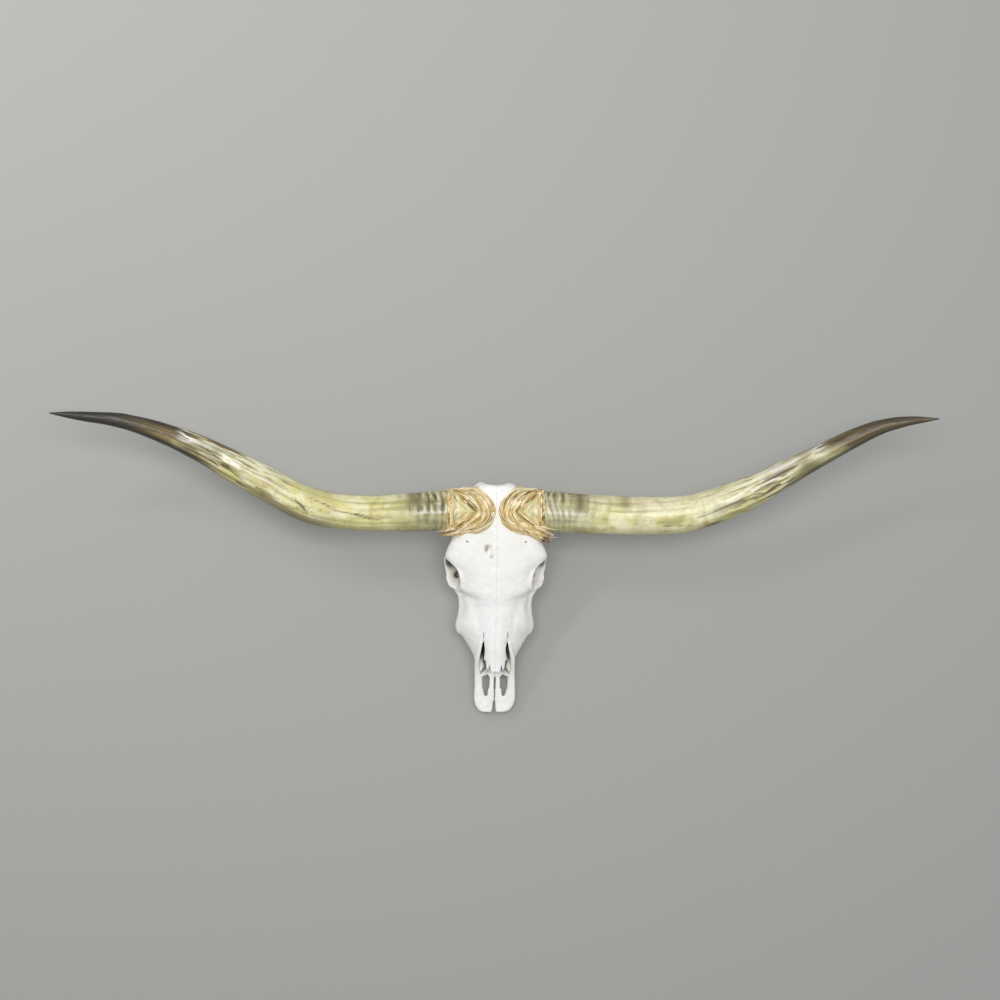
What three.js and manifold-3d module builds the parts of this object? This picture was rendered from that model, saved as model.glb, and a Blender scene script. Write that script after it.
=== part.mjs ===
// A longhorn steer skull without its lower jaw, lying on its last molars and jugular processes.
// Millimetres, +Z up, the nose towards -Y and the horns along X; left and right are the animal's.
// Inside this file every place is measured from the nose tip, the skull's midline and the floor,
// and the group at the end moves the origin to the middle of the footprint.
import * as THREE from 'three';
import { LoftGeometry } from 'three/addons/geometries/LoftGeometry.js';
import { mergeVertices } from 'three/addons/utils/BufferGeometryUtils.js';
import Module from 'manifold-3d';

const wasm = await Module();
wasm.setup();

// ---------- driving dimensions ----------
const SKULL_LENGTH = 521; // nose tip to poll, along the floor
const POLL_HEIGHT = 221; // top of the forehead between the horns, above the floor
const ORBIT_HALF = 111; // midline to the outer face of the cheek arch
const BROW_HALF = 107; // midline to the corner of the brow behind the eye socket
const FACE_HALF = 86; // midline to the facial tuberosity
const MUZZLE_HALF = 46; // midline to the side of the premaxilla
const NOSTRIL_HALF = 34; // half width of the hollow of the nose
const PALATE_HEIGHT = 44; // underside of the hard palate in front of the teeth
const CONDYLE_APART = 66; // between the middles of the two condyles
const CASE_WAIST = 112; // level at which the braincase is widest
const HORN_RADIUS = 46; // horn sheath at the burr
const SKIRT_DEPTH = 5; // thickness of the frayed keratin skirt
const SKIRT_EDGE = 1.4; // thickness of its ragged outer edge
const SUTURE = 0.5; // gap between neighbouring bones
const FIT = 0.4; // gap between horn, skirt and bone
const NOSE_TO_ORIGIN = 334; // nose tip to the middle of the footprint
const MIDLINE_TO_ORIGIN = 6; // the skull's midline from the middle of the footprint
const LEAN = 0.041; // how far the skull leans towards -X for each millimetre below LEAN_LEVEL
const LEAN_LEVEL = 205;

// Places along the skull, from the nose tip.
const FISSURE = [42, 83];
const NASAL_TIP = 104;
const SLOT_APEX = 172;
const TOOTH_ROW_FRONT = 155;
const TUBEROSITY = 203;
const NASAL_BACK = 282;
const ORBIT_Y = 322;
const POSTORBITAL = 360;
const HORN_Y = 457;

// Places across it, from the midline, and the horns' level.
const BURR = 68; // where the horn sheath starts
const SKIRT_END = 114;
const HORN_Z = 182;
const MIDLINE = SUTURE / 2 + 0.05;

// ---------- finishes ----------
const FINISH = {
  bone: { color: new THREE.Color(0.86, 0.85, 0.81), roughness: 0.7, metalness: 0 },
  horn: { color: new THREE.Color(0.62, 0.58, 0.4), roughness: 0.3, metalness: 0 },
  skirt: { color: new THREE.Color(0.62, 0.48, 0.27), roughness: 0.6, metalness: 0 },
};

// ---------- sides ----------
const SIDES = { left: 1, right: -1 };
const bothSides = (make) => Object.entries(SIDES).map(([name, side]) => make(side, name));

// ---------- shape helpers ----------
const point = (x, y, z) => new THREE.Vector3(x, y, z);
const points = (list, side = 1) => list.map(([x, y, z]) => point(x * side, y, z));
const turns = (count) => Array.from({ length: count }, (_, i) => (2 * Math.PI * i) / count);

// The superellipse's cosine and sine: power 2 is round, 4 is boxy.
const bent = (wave, power) => Math.sign(wave) * Math.abs(wave) ** (2 / power);

// A smooth line through [place, size] stations that never overshoots them.
function profile(...stations) {
  const last = stations.length - 1;
  const rise = (i) => (stations[i + 1][1] - stations[i][1]) / (stations[i + 1][0] - stations[i][0]);
  const slope = stations.map((_, i) => {
    if (i === 0) return rise(0);
    if (i === last) return rise(last - 1);
    const before = rise(i - 1);
    const after = rise(i);
    return before * after <= 0 ? 0 : (2 * before * after) / (before + after);
  });
  return (place) => {
    if (place <= stations[0][0]) return stations[0][1];
    if (place >= stations[last][0]) return stations[last][1];
    const i = stations.findIndex((s, k) => k < last && place <= stations[k + 1][0]);
    const span = stations[i + 1][0] - stations[i][0];
    const t = (place - stations[i][0]) / span;
    const h = t * t * (3 - 2 * t);
    return (
      stations[i][1] * (1 - h) + stations[i + 1][1] * h +
      span * t * (1 - t) * (slope[i] * (1 - t) - slope[i + 1] * t)
    );
  };
}

// A geometry as a manifold solid: its doubled corners are merged and empty faces left out.
function solid(geometry) {
  const bare = new THREE.BufferGeometry();
  bare.setAttribute('position', geometry.getAttribute('position'));
  bare.setIndex(geometry.getIndex());
  const merged = mergeVertices(bare, 1e-3);
  const faces = merged.getIndex().array;
  const kept = [];
  for (let i = 0; i < faces.length; i += 3) {
    const [a, b, c] = faces.slice(i, i + 3);
    if (a !== b && b !== c && a !== c) kept.push(a, b, c);
  }
  const vertProperties = new Float32Array(merged.getAttribute('position').array);
  return new wasm.Manifold(new wasm.Mesh({ numProp: 3, vertProperties, triVerts: new Uint32Array(kept) }));
}

const joined = (solids) => solids.reduce((all, one) => all.add(one));

// A closed skin over rings of points, whichever way round the rings were drawn.
function skin(rings) {
  const centre = (ring) => ring.reduce((sum, p) => sum.add(p), point(0, 0, 0)).divideScalar(ring.length);
  const start = centre(rings[0]);
  const ahead = centre(rings[1]).sub(start);
  const turn = point(0, 0, 0);
  rings[0].forEach((p, i, ring) => {
    const next = ring[(i + 1) % ring.length].clone().sub(start);
    turn.add(point(0, 0, 0).crossVectors(p.clone().sub(start), next));
  });
  const drawn = turn.dot(ahead) < 0 ? rings.map((ring) => [...ring].reverse()) : rings;
  return solid(new LoftGeometry(drawn, { capStart: true, capEnd: true }));
}

// How far a rounded end has opened, from its smallest share at the end to 1 beyond its radius.
function opening(distance, radius) {
  const FIRST = 0.04;
  if (distance >= radius) return 1;
  return Math.sqrt(1 - (1 - Math.max(distance / radius, FIRST)) ** 2);
}

// A mass along the skull: each ring is `half` wide, runs from `bottom` to `top` and is widest at
// `waist`. `roof` and `keel` square its upper and lower halves; `front` and `back` round its ends.
function mass(places, shape, { count, front, back, grow = 0 }) {
  const first = places[0];
  const last = places[places.length - 1];
  const rings = places.map((y) => {
    const { half, top, bottom, waist, roof = 2, keel = 2 } = shape(y);
    const share = opening(y - first, front) * opening(last - y, back);
    const end = y === first ? -grow : y === last ? grow : 0;
    return turns(count).map((a) => {
      const above = Math.sin(a) > 0;
      const power = above ? roof : keel;
      const reach = (above ? top - waist : waist - bottom) * share + grow;
      const x = (half * share + grow) * bent(Math.cos(a), power);
      return point(x, y + end, waist + reach * bent(Math.sin(a), power));
    });
  });
  return skin(rings);
}

// A limb along a smooth line: `wide` across and `tall` towards `up`, both half sizes.
function limb(path, wide, tall, { count, steps, up = point(0, 0, 1), square = 2 }) {
  const line = new THREE.CatmullRomCurve3(path, false, 'centripetal');
  const rings = Array.from({ length: steps + 1 }, (_, k) => {
    const t = k / steps;
    const centre = line.getPointAt(t);
    const along = line.getTangentAt(t);
    const across = point(0, 0, 0).crossVectors(up, along).normalize();
    const rise = point(0, 0, 0).crossVectors(along, across);
    return turns(count).map((a) =>
      centre
        .clone()
        .addScaledVector(across, wide(t) * bent(Math.cos(a), square))
        .addScaledVector(rise, tall(t) * bent(Math.sin(a), square)),
    );
  });
  return skin(rings);
}

function blob(centre, radii) {
  const ball = new THREE.SphereGeometry(1, 8, 6);
  ball.scale(radii.x, radii.y, radii.z);
  ball.translate(centre.x, centre.y, centre.z);
  return solid(ball);
}

// An outline pushed outwards by `grow`, counterclockwise.
function widened(outline, grow) {
  const SHARPEST = 0.4;
  const corners = outline.map(([a, b]) => new THREE.Vector2(a, b));
  if (THREE.ShapeUtils.isClockWise(corners)) corners.reverse();
  return corners.map((corner, i) => {
    const into = corner.clone().sub(corners[(i + corners.length - 1) % corners.length]).normalize();
    const out = corners[(i + 1) % corners.length].clone().sub(corner).normalize();
    const normal = new THREE.Vector2(into.y + out.y, -into.x - out.x).normalize();
    const stretch = Math.max(normal.dot(new THREE.Vector2(out.y, -out.x)), SHARPEST);
    return corner.clone().addScaledVector(normal, grow / stretch);
  });
}

function block(outline, low, high, grow) {
  const shape = new THREE.Shape(widened(outline, grow));
  const options = { depth: high - low + 2 * grow, bevelEnabled: false };
  return new THREE.ExtrudeGeometry(shape, options).translate(0, 0, low - grow);
}

// A prism over an (x, y) outline from low to high in Z, and one over (y, z) from low to high in X.
const prismUp = (outline, low, high, grow = 0) => solid(block(outline, low, high, grow));
const ACROSS = new THREE.Matrix4().makeBasis(point(0, 1, 0), point(0, 0, 1), point(1, 0, 0));
const prismAcross = (outline, low, high, grow = 0) =>
  solid(block(outline, low, high, grow).applyMatrix4(ACROSS));

const fromAbove = (side, outline, low, high, grow) =>
  prismUp(outline.map(([x, y]) => [x * side, y]), low, high, grow);
const fromSide = (side, outline, near, far, grow) =>
  prismAcross(outline, side > 0 ? near : -far, side > 0 ? far : -near, grow);

// ---------- the skull's lines, from nose to poll ----------
const roofLine = profile(
  [NASAL_TIP, 108], [178, 134], [253, 163], [NASAL_BACK, 173], [330, 190],
  [390, 207], [440, 217], [485, POLL_HEIGHT], [505, 219], [SKULL_LENGTH, 208],
);
const faceHalf = profile(
  [112, 41], [137, 51], [172, 70], [TUBEROSITY, FACE_HALF], [216, 83], [248, 79],
  [283, 81], [310, 76], [335, 62],
);
const crestHeight = profile([112, 54], [160, 66], [TUBEROSITY, 80], [250, 92], [335, 104]);
const palateHeight = profile([112, PALATE_HEIGHT], [160, PALATE_HEIGHT], [290, 38], [335, 42]);
const browHalf = profile(
  [262, 42], [283, 76], [318, 84], [345, 101], [POSTORBITAL, BROW_HALF], [374, 101],
  [392, 92], [420, 82], [460, 66], [495, 50], [SKULL_LENGTH, 40],
);
const browEdge = profile(
  [262, 136], [300, 139], [345, 156], [POSTORBITAL, 159], [400, 168], [460, 176],
  [SKULL_LENGTH, 182],
);

// ---------- masses of bone ----------
function face() {
  const places = [112, 130, 155, 180, TUBEROSITY, 222, 260, 310, 335];
  const shape = (y) => ({
    half: faceHalf(y),
    top: roofLine(y) - 1,
    bottom: palateHeight(y),
    waist: crestHeight(y),
    roof: 1.75,
    keel: 3,
  });
  return mass(places, shape, { count: 12, front: 2, back: 30 });
}

function brow(grow = 0) {
  const places = [262, 274, 300, 330, POSTORBITAL, 390, 460, 505, SKULL_LENGTH];
  const shape = (y) => ({
    half: browHalf(y),
    top: roofLine(y),
    bottom: Math.min(browEdge(y) - 8, 168),
    waist: browEdge(y),
    roof: 2.4,
    keel: 2.4,
  });
  return mass(places, shape, { count: 12, front: 10, back: 9, grow });
}

function braincase(grow = 0) {
  const half = profile([300, 34], [340, 44], [400, 56], [450, 60], [495, 58]);
  const bottom = profile([300, 72], [360, 66], [430, 54], [495, 60]);
  const shape = (y) => ({
    half: half(y),
    top: roofLine(y) - 22,
    bottom: bottom(y),
    waist: CASE_WAIST,
    roof: 2.6,
    keel: 2.6,
  });
  return mass([300, 325, 380, 440, 488, 497], shape, { count: 10, front: 14, back: 6, grow });
}

function occiput(grow = 0) {
  const half = profile([452, 62], [474, 84], [494, 86], [509, 80]);
  const shape = (y) => ({ half: half(y), top: 188, bottom: 50, waist: 92, roof: 2.2, keel: 2.6 });
  return mass([452, 464, 485, 509], shape, { count: 10, front: 12, back: 9, grow });
}

function nuchalCrest() {
  const path = points([[0, 499, 200], [0, 510, 172], [0, 508, 140], [0, 504, 108]]);
  return limb(path, () => 10, () => 7, { count: 6, steps: 3, up: point(0, 1, 0) });
}

function skullBase() {
  const half = profile([300, 13], [365, 17], [430, 24], [500, 33]);
  const bottom = profile([318, 50], [505, 41]);
  const shape = (y) => ({ half: half(y), top: 90, bottom: bottom(y), waist: 66, keel: 2.6 });
  return mass([318, 335, 420, 505], shape, { count: 8, front: 8, back: 6 });
}

// ---------- paired parts, built for one side ----------
// The eye socket is a cup from its root beside the braincase out to its rim, a little flattened.
const ORBIT_RIM = [ORBIT_HALF - 15, ORBIT_Y, 134];
const ORBIT_ROOT = [34, ORBIT_Y + 26, CASE_WAIST];
const ORBIT_OUT = [103.5, ORBIT_Y - 3, 136.6];
const ORBIT_FLATNESS = 0.92;

function orbitCup(path, size) {
  return limb(path, size, (t) => size(t) * ORBIT_FLATNESS, { count: 10, steps: 3 });
}

function orbitWall(side) {
  const size = profile([0, 22], [0.45, 32], [0.8, 40], [0.96, 43], [1, 41]);
  return orbitCup(points([ORBIT_ROOT, ORBIT_RIM], side), size);
}

function orbitHollow(side) {
  const [x, y, z] = ORBIT_ROOT;
  const path = points([[x + 6, y - 2, z + 2], ORBIT_OUT], side);
  return orbitCup(path, profile([0, 6], [0.2, 20], [0.55, 31], [0.85, 35.5], [1, 41]));
}

function cheekArch(side) {
  const outer = ORBIT_HALF - 5;
  const path = points([
    [88, 284, 92], [outer - 3, 316, 94], [outer, 345, 102], [outer - 1, 378, 112],
    [97, 410, 113], [78, 438, 106], [58, 452, 100],
  ], side);
  const wide = profile([0, 12], [0.2, 8], [0.6, 5], [0.85, 8], [1, 12]);
  const tall = profile([0, 15], [0.35, 12], [0.6, 9], [0.85, 10], [1, 12]);
  return limb(path, wide, tall, { count: 6, steps: 6, square: 2.4 });
}

function postorbitalBar(side) {
  const path = points([[104, 360, 108], [106, 362, 130], [103, POSTORBITAL - 2, 158]], side);
  const wide = profile([0, 12], [0.5, 8], [1, 12]);
  return limb(path, wide, () => 5, { count: 8, steps: 3, up: point(side, 0, 0), square: 2.4 });
}

function jawSocket(side) {
  const path = points([[48, 424, 92], [66, 420, 88], [88, 412, 94]], side);
  return limb(path, () => 13, () => 9, { count: 6, steps: 1 });
}

function earTube(side) {
  const path = points([[52, 448, 62], [70, 446, 80], [84, 443, 94]], side);
  return limb(path, () => 9, () => 9, { count: 6, steps: 1 });
}

const bulla = (side) => blob(point(44 * side, 444, 47), point(13, 24, 31));

const condyle = (side) => blob(point((CONDYLE_APART / 2) * side, 505, 62), point(19, 21, 28));

// It reaches just below the floor, so that the floor cut leaves a small flat to lie on.
function jugularProcess(side) {
  const path = points([[72, 486, 84], [70, 484, 52], [63, 480, 22], [60, 478, -2]], side);
  const wide = profile([0, 18], [0.5, 13], [1, 7]);
  const tall = profile([0, 12], [0.6, 7], [1, 5]);
  return limb(path, wide, tall, { count: 6, steps: 4, up: point(1, 0, 0) });
}

function pterygoid(side) {
  const path = points([[30, 296, 44], [25, 325, 46], [21, 350, 50], [20, 378, 62]], side);
  const tall = profile([0, 12], [0.5, 22], [1, 12]);
  return limb(path, () => 4, tall, { count: 6, steps: 3, square: 2.6 });
}

const molarBulge = (side) => blob(point(56 * side, 296, 66), point(24, 34, 36));

function gumRidge(side) {
  const path = points([[40, 138, 42], [50, 170, 38], [58, 215, 35], [60, 255, 31], [55, 300, 32]], side);
  const wide = profile([0, 5], [0.3, 11], [0.8, 14], [1, 9]);
  const tall = profile([0, 6], [0.3, 13], [1, 12]);
  return limb(path, wide, tall, { count: 6, steps: 3, square: 2.6 });
}

// ---------- teeth: three premolars, then three molars ----------
const TEETH = [
  { long: 17, wide: 13 }, { long: 18, wide: 15 }, { long: 18, wide: 17 },
  { long: 25, wide: 20 }, { long: 29, wide: 21 }, { long: 30, wide: 19 },
];
const TOOTH_TOP = 36;
const toothRowX = profile([150, 46], [190, 54], [225, 58], [260, 59], [295, 54]);
const biteHeight = profile([150, 9], [235, 3], [262, -1], [295, -1]);

function toothRow(side) {
  let y = TOOTH_ROW_FRONT;
  const crowns = TEETH.map(({ long, wide }) => {
    const middle = y + long / 2;
    y += long;
    const x = toothRowX(middle);
    const path = points([[x, middle, biteHeight(middle)], [x, middle, TOOTH_TOP]], side);
    const shape = { count: 6, steps: 1, up: point(1, 0, 0), square: 3 };
    return limb(path, () => long * 0.48, () => wide / 2, shape);
  });
  return joined(crowns);
}

// ---------- muzzle ----------
function premaxillaPlate(side) {
  const outer = profile([0, 24], [4, 33], [10, 39], [22, MUZZLE_HALF - 1.5], [56, MUZZLE_HALF]);
  const inner = profile([0, 4.5], [20, 2.4], [60, 1.2]);
  const height = profile([0, 26], [60, 39]);
  const rings = [0, 5, 16, 34, 54].map((y) => {
    const middle = (outer(y) + inner(y)) / 2;
    const reach = (outer(y) - inner(y)) / 2;
    const thick = 7.5 * opening(y + 1.5, 14);
    return turns(8).map((a) =>
      point((middle + reach * bent(Math.cos(a), 2.6)) * side, y, height(y) + thick * bent(Math.sin(a), 2.4)),
    );
  });
  return skin(rings);
}

// The long hole through the palate, between the side bar and the middle bar.
function palateFissure(side) {
  const [front, back] = FISSURE;
  const shape = [[16, 0], [23, 0], [27, 0.2], [27.5, 0.9], [25, 1], [16, 1], [13.5, 0.85], [13.3, 0.2]];
  return fromAbove(side, shape.map(([x, t]) => [x, front + (back - front) * t]), 0, 80, 0);
}

function sideBar(side) {
  const path = points([
    [36.5, 40, 35], [36.5, 75, 45], [40, 105, 57], [40, 130, 74], [36, 150, 94], [31, 170, 113],
  ], side);
  const tall = profile([0, 9], [0.4, 11], [0.7, 17], [1, 8]);
  const wide = profile([0, 9.5], [0.25, 9.5], [0.45, 6], [1, 4]);
  return limb(path, wide, tall, { count: 6, steps: 7, square: 2.4 });
}

function middleBar(side) {
  const path = points([[7, 36, 33], [7, 70, 40], [6, 112, 47]], side);
  const wide = profile([0, 5.8], [1, 4.4]);
  const tall = profile([0, 6.5], [1, 4]);
  return limb(path, wide, tall, { count: 6, steps: 2, square: 2.6 });
}

function palatePlate(side) {
  const start = FISSURE[1] - 3;
  const outline = [[1, start], [38, start], [42, 112], [46, 160], [1, 160]];
  return fromAbove(side, outline, PALATE_HEIGHT - 3, PALATE_HEIGHT + 6, 0);
}

// Half of the roof over the nose, which stands free in front of the face.
function nasalRoof(side) {
  const THICK = 7;
  const half = profile([NASAL_TIP, 20.5], [125, 22], [160, 23], [180, 27], [253, 26]);
  const rings = [NASAL_TIP - 4, NASAL_TIP, 125, 160, 225].map((y) => {
    const top = roofLine(y) + (y < NASAL_TIP ? -0.5 : 1.5);
    const slope = [[0.3, 0], [half(y) * 0.5, -0.8], [half(y) * 0.8, -3.5], [half(y), -8]];
    const over = slope.map(([x, drop]) => point(x * side, y, top + drop));
    const under = slope.map(([x, drop]) => point(x * side * 0.96, y, top + drop - THICK));
    return [...over, ...under.reverse()];
  });
  return skin(rings);
}

// The bite out of each nasal bone's free end, which leaves it two points.
function nasalNotch(side) {
  const tip = NASAL_TIP;
  const outline = [[9, tip - 8], [13.5, tip + 12], [15.5, tip - 1], [24, tip + 6], [26, tip - 8]];
  return fromAbove(side, outline, 80, 140, 0);
}

// ---------- hollows ----------
function nasalCavity() {
  const half = profile([100, NOSTRIL_HALF], [160, NOSTRIL_HALF], [205, 28], [238, 14]);
  const shape = (y) => ({
    half: half(y),
    top: roofLine(y) - 7.5,
    bottom: PALATE_HEIGHT + 4,
    waist: 72,
    roof: 2.6,
    keel: 3.2,
  });
  return mass([90, 120, 160, 210, 238], shape, { count: 10, front: 1, back: 20 });
}

// The open slot beside each nasal bone, narrowing to an apex.
function nasalSlot(side) {
  const outline = [
    [21.5, 90], [22.5, 135], [25, 162], [26.6, SLOT_APEX], [28.2, SLOT_APEX], [31, 155], [36.5, 115], [37, 90],
  ];
  return fromAbove(side, outline, 62, 160, 0);
}

function foramenMagnum() {
  const path = points([[0, 438, 84], [0, 470, 78], [0, 536, 66]]);
  const wide = profile([0, 10], [0.3, 24], [0.55, 20], [1, 22]);
  const tall = profile([0, 8], [0.3, 22], [0.55, 19], [1, 22]);
  return limb(path, wide, tall, { count: 10, steps: 3 });
}

function throat() {
  const path = points([[0, 262, 62], [0, 315, 56], [0, 372, 48]]);
  return limb(path, () => 15, profile([0, 12], [0.5, 15], [1, 22]), { count: 6, steps: 2, square: 2.6 });
}

function browHole(side) {
  const path = points([[64, 391, 186], [63, 387, 225]], side);
  return limb(path, () => 3.6, () => 3.2, { count: 6, steps: 1, up: point(1, 0, 0) });
}

// Everything under the floor, cut off so that the teeth and the jugular processes lie flat.
const underFloor = () => prismUp([[-150, 200], [150, 200], [150, 560], [-150, 560]], -40, 0);

// The upright plate on the floor of the nose, joined to the palate until it is parted.
const vomerPlate = (floor, half) => (grow) =>
  prismAcross([[98, floor], [122, 66], [162, 82], [212, 90], [236, floor]], -half, half, grow);

// ---------- horns ----------
const HORNS = {
  right: {
    line: [
      [-BURR, HORN_Y, HORN_Z], [-123, 457, 184], [-296, 453, 188], [-404, 469, 196],
      [-526, 531, 208], [-659, 601, 228], [-794, 648, 254], [-886, 659, 274], [-950, 665, 288],
    ],
    radius: profile(
      [0, HORN_RADIUS], [0.15, 41], [0.25, 38], [0.34, 38.5], [0.45, 36.5], [0.52, 34.5],
      [0.62, 29.5], [0.76, 20.5], [0.88, 13], [0.95, 8], [1, 1.6],
    ),
  },
  left: {
    line: [
      [BURR, HORN_Y, HORN_Z], [138, 454, 184], [312, 447, 188], [419, 453, 196],
      [547, 498, 208], [677, 568, 228], [801, 631, 254], [861, 647, 270], [933, 653, 288],
    ],
    radius: profile(
      [0, HORN_RADIUS], [0.12, 43], [0.25, 41.5], [0.38, 39.5], [0.5, 36], [0.58, 30.5],
      [0.7, 24], [0.8, 20], [0.88, 14.5], [0.95, 8], [1, 1.6],
    ),
  },
};
const HORN_FLATNESS = 0.97;

function horn(name, grow = 0) {
  const path = points(HORNS[name].line);
  path[0].x -= grow * SIDES[name];
  const radius = (t) => HORNS[name].radius(t) + grow;
  return limb(path, radius, (t) => radius(t) * HORN_FLATNESS, { count: 12, steps: 17 });
}

// The bony boss under each horn, from near the midline to the burr. Past the burr the same form
// follows the horn. `more(x)` thickens it.
const bossRadius = profile([3, 2.5], [6, 14.5], [9, 28], [15, 38], [28, 44.5], [45, 49], [BURR, HORN_RADIUS]);
const bossRise = profile([3, 32], [6, 21.5], [9, 11], [15, 5], [28, 5], [45, 3], [BURR, 0]);

function boss(side, name, places, more) {
  const line = new THREE.CatmullRomCurve3(points(HORNS[name].line), false, 'centripetal');
  const rings = places.map((x) => {
    const along = Math.max(x - BURR, 0) / line.getLength();
    const centre = point(x * side, HORN_Y, HORN_Z + bossRise(x));
    if (along > 0) centre.setZ(line.getPointAt(along).z).setY(line.getPointAt(along).y);
    const radius = (along > 0 ? HORNS[name].radius(along) : bossRadius(x)) + more(x);
    return turns(12).map((a) =>
      point(centre.x, centre.y + radius * Math.cos(a), centre.z + HORN_FLATNESS * radius * Math.sin(a)),
    );
  });
  return skin(rings);
}

const bareBoss = (side, name) => boss(side, name, [4, 7, 12, 24, 45, BURR - FIT], () => 0);

// The frayed skirt of old keratin over the boss and the root of the horn.
function skirt(side, name) {
  const depth = profile([3, 5], [9, 7], [28, SKIRT_DEPTH], [BURR, SKIRT_DEPTH], [SKIRT_END, SKIRT_EDGE]);
  const outer = boss(side, name, [3, 6, 10, 20, 40, BURR, 90, SKIRT_END], (x) => FIT + depth(x));
  const inner = boss(side, name, [4, 7, 12, 24, 45, BURR, 90, SKIRT_END + 6], () => FIT);
  return outer.subtract(joined([inner, brow(FIT), braincase(FIT), occiput(FIT)]));
}

// ---------- the skull in one piece ----------
function wholeSkull() {
  const middle = [face(), brow(), braincase(), occiput(), nuchalCrest(), skullBase()];
  const paired = [
    orbitWall, cheekArch, postorbitalBar, jawSocket, earTube, bulla, condyle, jugularProcess,
    pterygoid, molarBulge, gumRidge, bareBoss,
  ];
  const hollows = [orbitHollow, nasalSlot, browHole, (side, name) => horn(name, FIT)];
  const muzzle = [premaxillaPlate, sideBar, middleBar, palatePlate, nasalRoof, toothRow];
  return joined([...middle, ...paired.flatMap(bothSides)])
    .subtract(joined([nasalCavity(), foramenMagnum(), throat(), ...hollows.flatMap(bothSides)]))
    .add(joined([vomerPlate(PALATE_HEIGHT, 1.4)(0), ...muzzle.flatMap(bothSides)]))
    .subtract(joined([underFloor(), ...[palateFissure, nasalNotch].flatMap(bothSides)]));
}

// ---------- parting the skull into its bones ----------
function nasalRegion(side, grow) {
  const places = [NASAL_TIP - 10, 178, 253, NASAL_BACK + 6];
  const over = places.map((y) => [y, roofLine(y) + 9]);
  const under = places.map((y) => [y, roofLine(y) - 12]);
  const plan = [[MIDLINE, 90], [28, 90], [28.6, 253], [5, 288], [MIDLINE, NASAL_BACK]];
  const slab = fromSide(side, [...over, ...under.reverse()], -1, 40, grow);
  return slab.intersect(fromAbove(side, plan, 60, 260, grow));
}

function premaxillaRegion(side, grow) {
  const outline = [[-9, 5], [88, 5], [88, 45], [135, 70], [172, 104], [180, 150], [-9, 150]];
  return fromSide(side, outline, MIDLINE, 60, grow);
}

function lacrimalRegion(side, grow) {
  return fromAbove(side, [[29, 238], [52, 236], [90, 292], [70, 308], [44, 296]], 106, 230, grow);
}

function zygomaticRegion(side, grow) {
  const outline = [
    [238, 86], [262, 66], [305, 72], [386, 100], [368, 138], [345, 138], [318, 104], [285, 118],
  ];
  return fromSide(side, outline, 60, 130, grow);
}

function frontalRegion(side, grow) {
  const outline = [
    [250, 146], [262, 128], [335, 134], [475, 134], [498, 186], [530, 186], [530, 300], [250, 300],
  ];
  const underBoss = [[36, 398], [80, 398], [80, 512], [36, 512]];
  return fromSide(side, outline, MIDLINE, 130, grow).add(fromAbove(side, underBoss, 130, 300, grow));
}

function temporalRegion(side, grow) {
  const outline = [[368, 126], [386, 96], [416, 66], [418, 8], [470, 8], [473, 130], [396, 136]];
  return fromSide(side, outline, 30, 130, grow);
}

function occipitalRegion(grow) {
  const nape = prismAcross([[474, -5], [530, -5], [530, 190], [500, 190], [474, 170]], -130, 130, grow);
  return nape.add(prismAcross([[402, 20], [476, 20], [476, 66], [402, 66]], -34, 34, grow));
}

const parietalRegion = (grow) => prismAcross([[384, 84], [474, 84], [474, 200], [384, 200]], -90, 90, grow);

const sphenoidRegion = (grow) => prismAcross([[334, 10], [404, 10], [404, 200], [334, 200]], -80, 80, grow);

const palatineRegion = (side, grow) =>
  fromAbove(side, [[MIDLINE, 258], [38, 258], [38, 340], [MIDLINE, 340]], 10, 62, grow);

const maxillaRegion = (side, grow) =>
  fromSide(side, [[60, -10], [400, -10], [400, 250], [60, 250]], MIDLINE, 140, grow);

const largest = (shape) => shape.decompose().sort((a, b) => b.volume() - a.volume())[0];

// Each bone is what its region holds of the bone that is left, and the cut beside it is a suture.
function partedSkull() {
  const bones = {};
  let rest = wholeSkull();
  const take = (name, region) => {
    bones[name] = largest(rest.intersect(region(0)));
    rest = rest.subtract(region(SUTURE));
  };
  const takePair = (bone, region) =>
    bothSides((side, name) => take(`${bone}_${name}`, (grow) => region(side, grow)));
  take('vomer', vomerPlate(PALATE_HEIGHT + 7, 1.6));
  takePair('nasal', nasalRegion);
  takePair('premaxilla', premaxillaRegion);
  takePair('lacrimal', lacrimalRegion);
  takePair('zygomatic', zygomaticRegion);
  takePair('frontal', frontalRegion);
  takePair('temporal', temporalRegion);
  take('occipital', occipitalRegion);
  take('parietal', parietalRegion);
  take('sphenoid', sphenoidRegion);
  takePair('palatine', palatineRegion);
  bothSides((side, name) => {
    bones[`maxilla_${name}`] = largest(rest.intersect(maxillaRegion(side, 0)));
  });
  return bones;
}

// ---------- the scene ----------
const skull = new THREE.Group();
skull.position.set(MIDLINE_TO_ORIGIN, -NOSE_TO_ORIGIN, 0);

const leaning = new THREE.Matrix4().set(1, 0, LEAN, -LEAN * LEAN_LEVEL, 0, 1, 0, 0, 0, 0, 1, 0, 0, 0, 0, 1);

function addPart(name, shape, finish) {
  const { vertProperties, triVerts } = shape.getMesh();
  const geometry = new THREE.BufferGeometry();
  geometry.setAttribute('position', new THREE.BufferAttribute(vertProperties, 3));
  geometry.setIndex(new THREE.BufferAttribute(triVerts, 1));
  geometry.applyMatrix4(leaning);
  geometry.computeVertexNormals();
  const mesh = new THREE.Mesh(geometry, new THREE.MeshStandardMaterial(finish));
  mesh.name = name;
  skull.add(mesh);
}

Object.entries(partedSkull()).forEach(([name, bone]) => addPart(name, bone, FINISH.bone));
bothSides((side, name) => {
  addPart(`horn_${name}`, horn(name), FINISH.horn);
  addPart(`horn_skirt_${name}`, largest(skirt(side, name)), FINISH.skirt);
});

export default skull;
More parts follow.
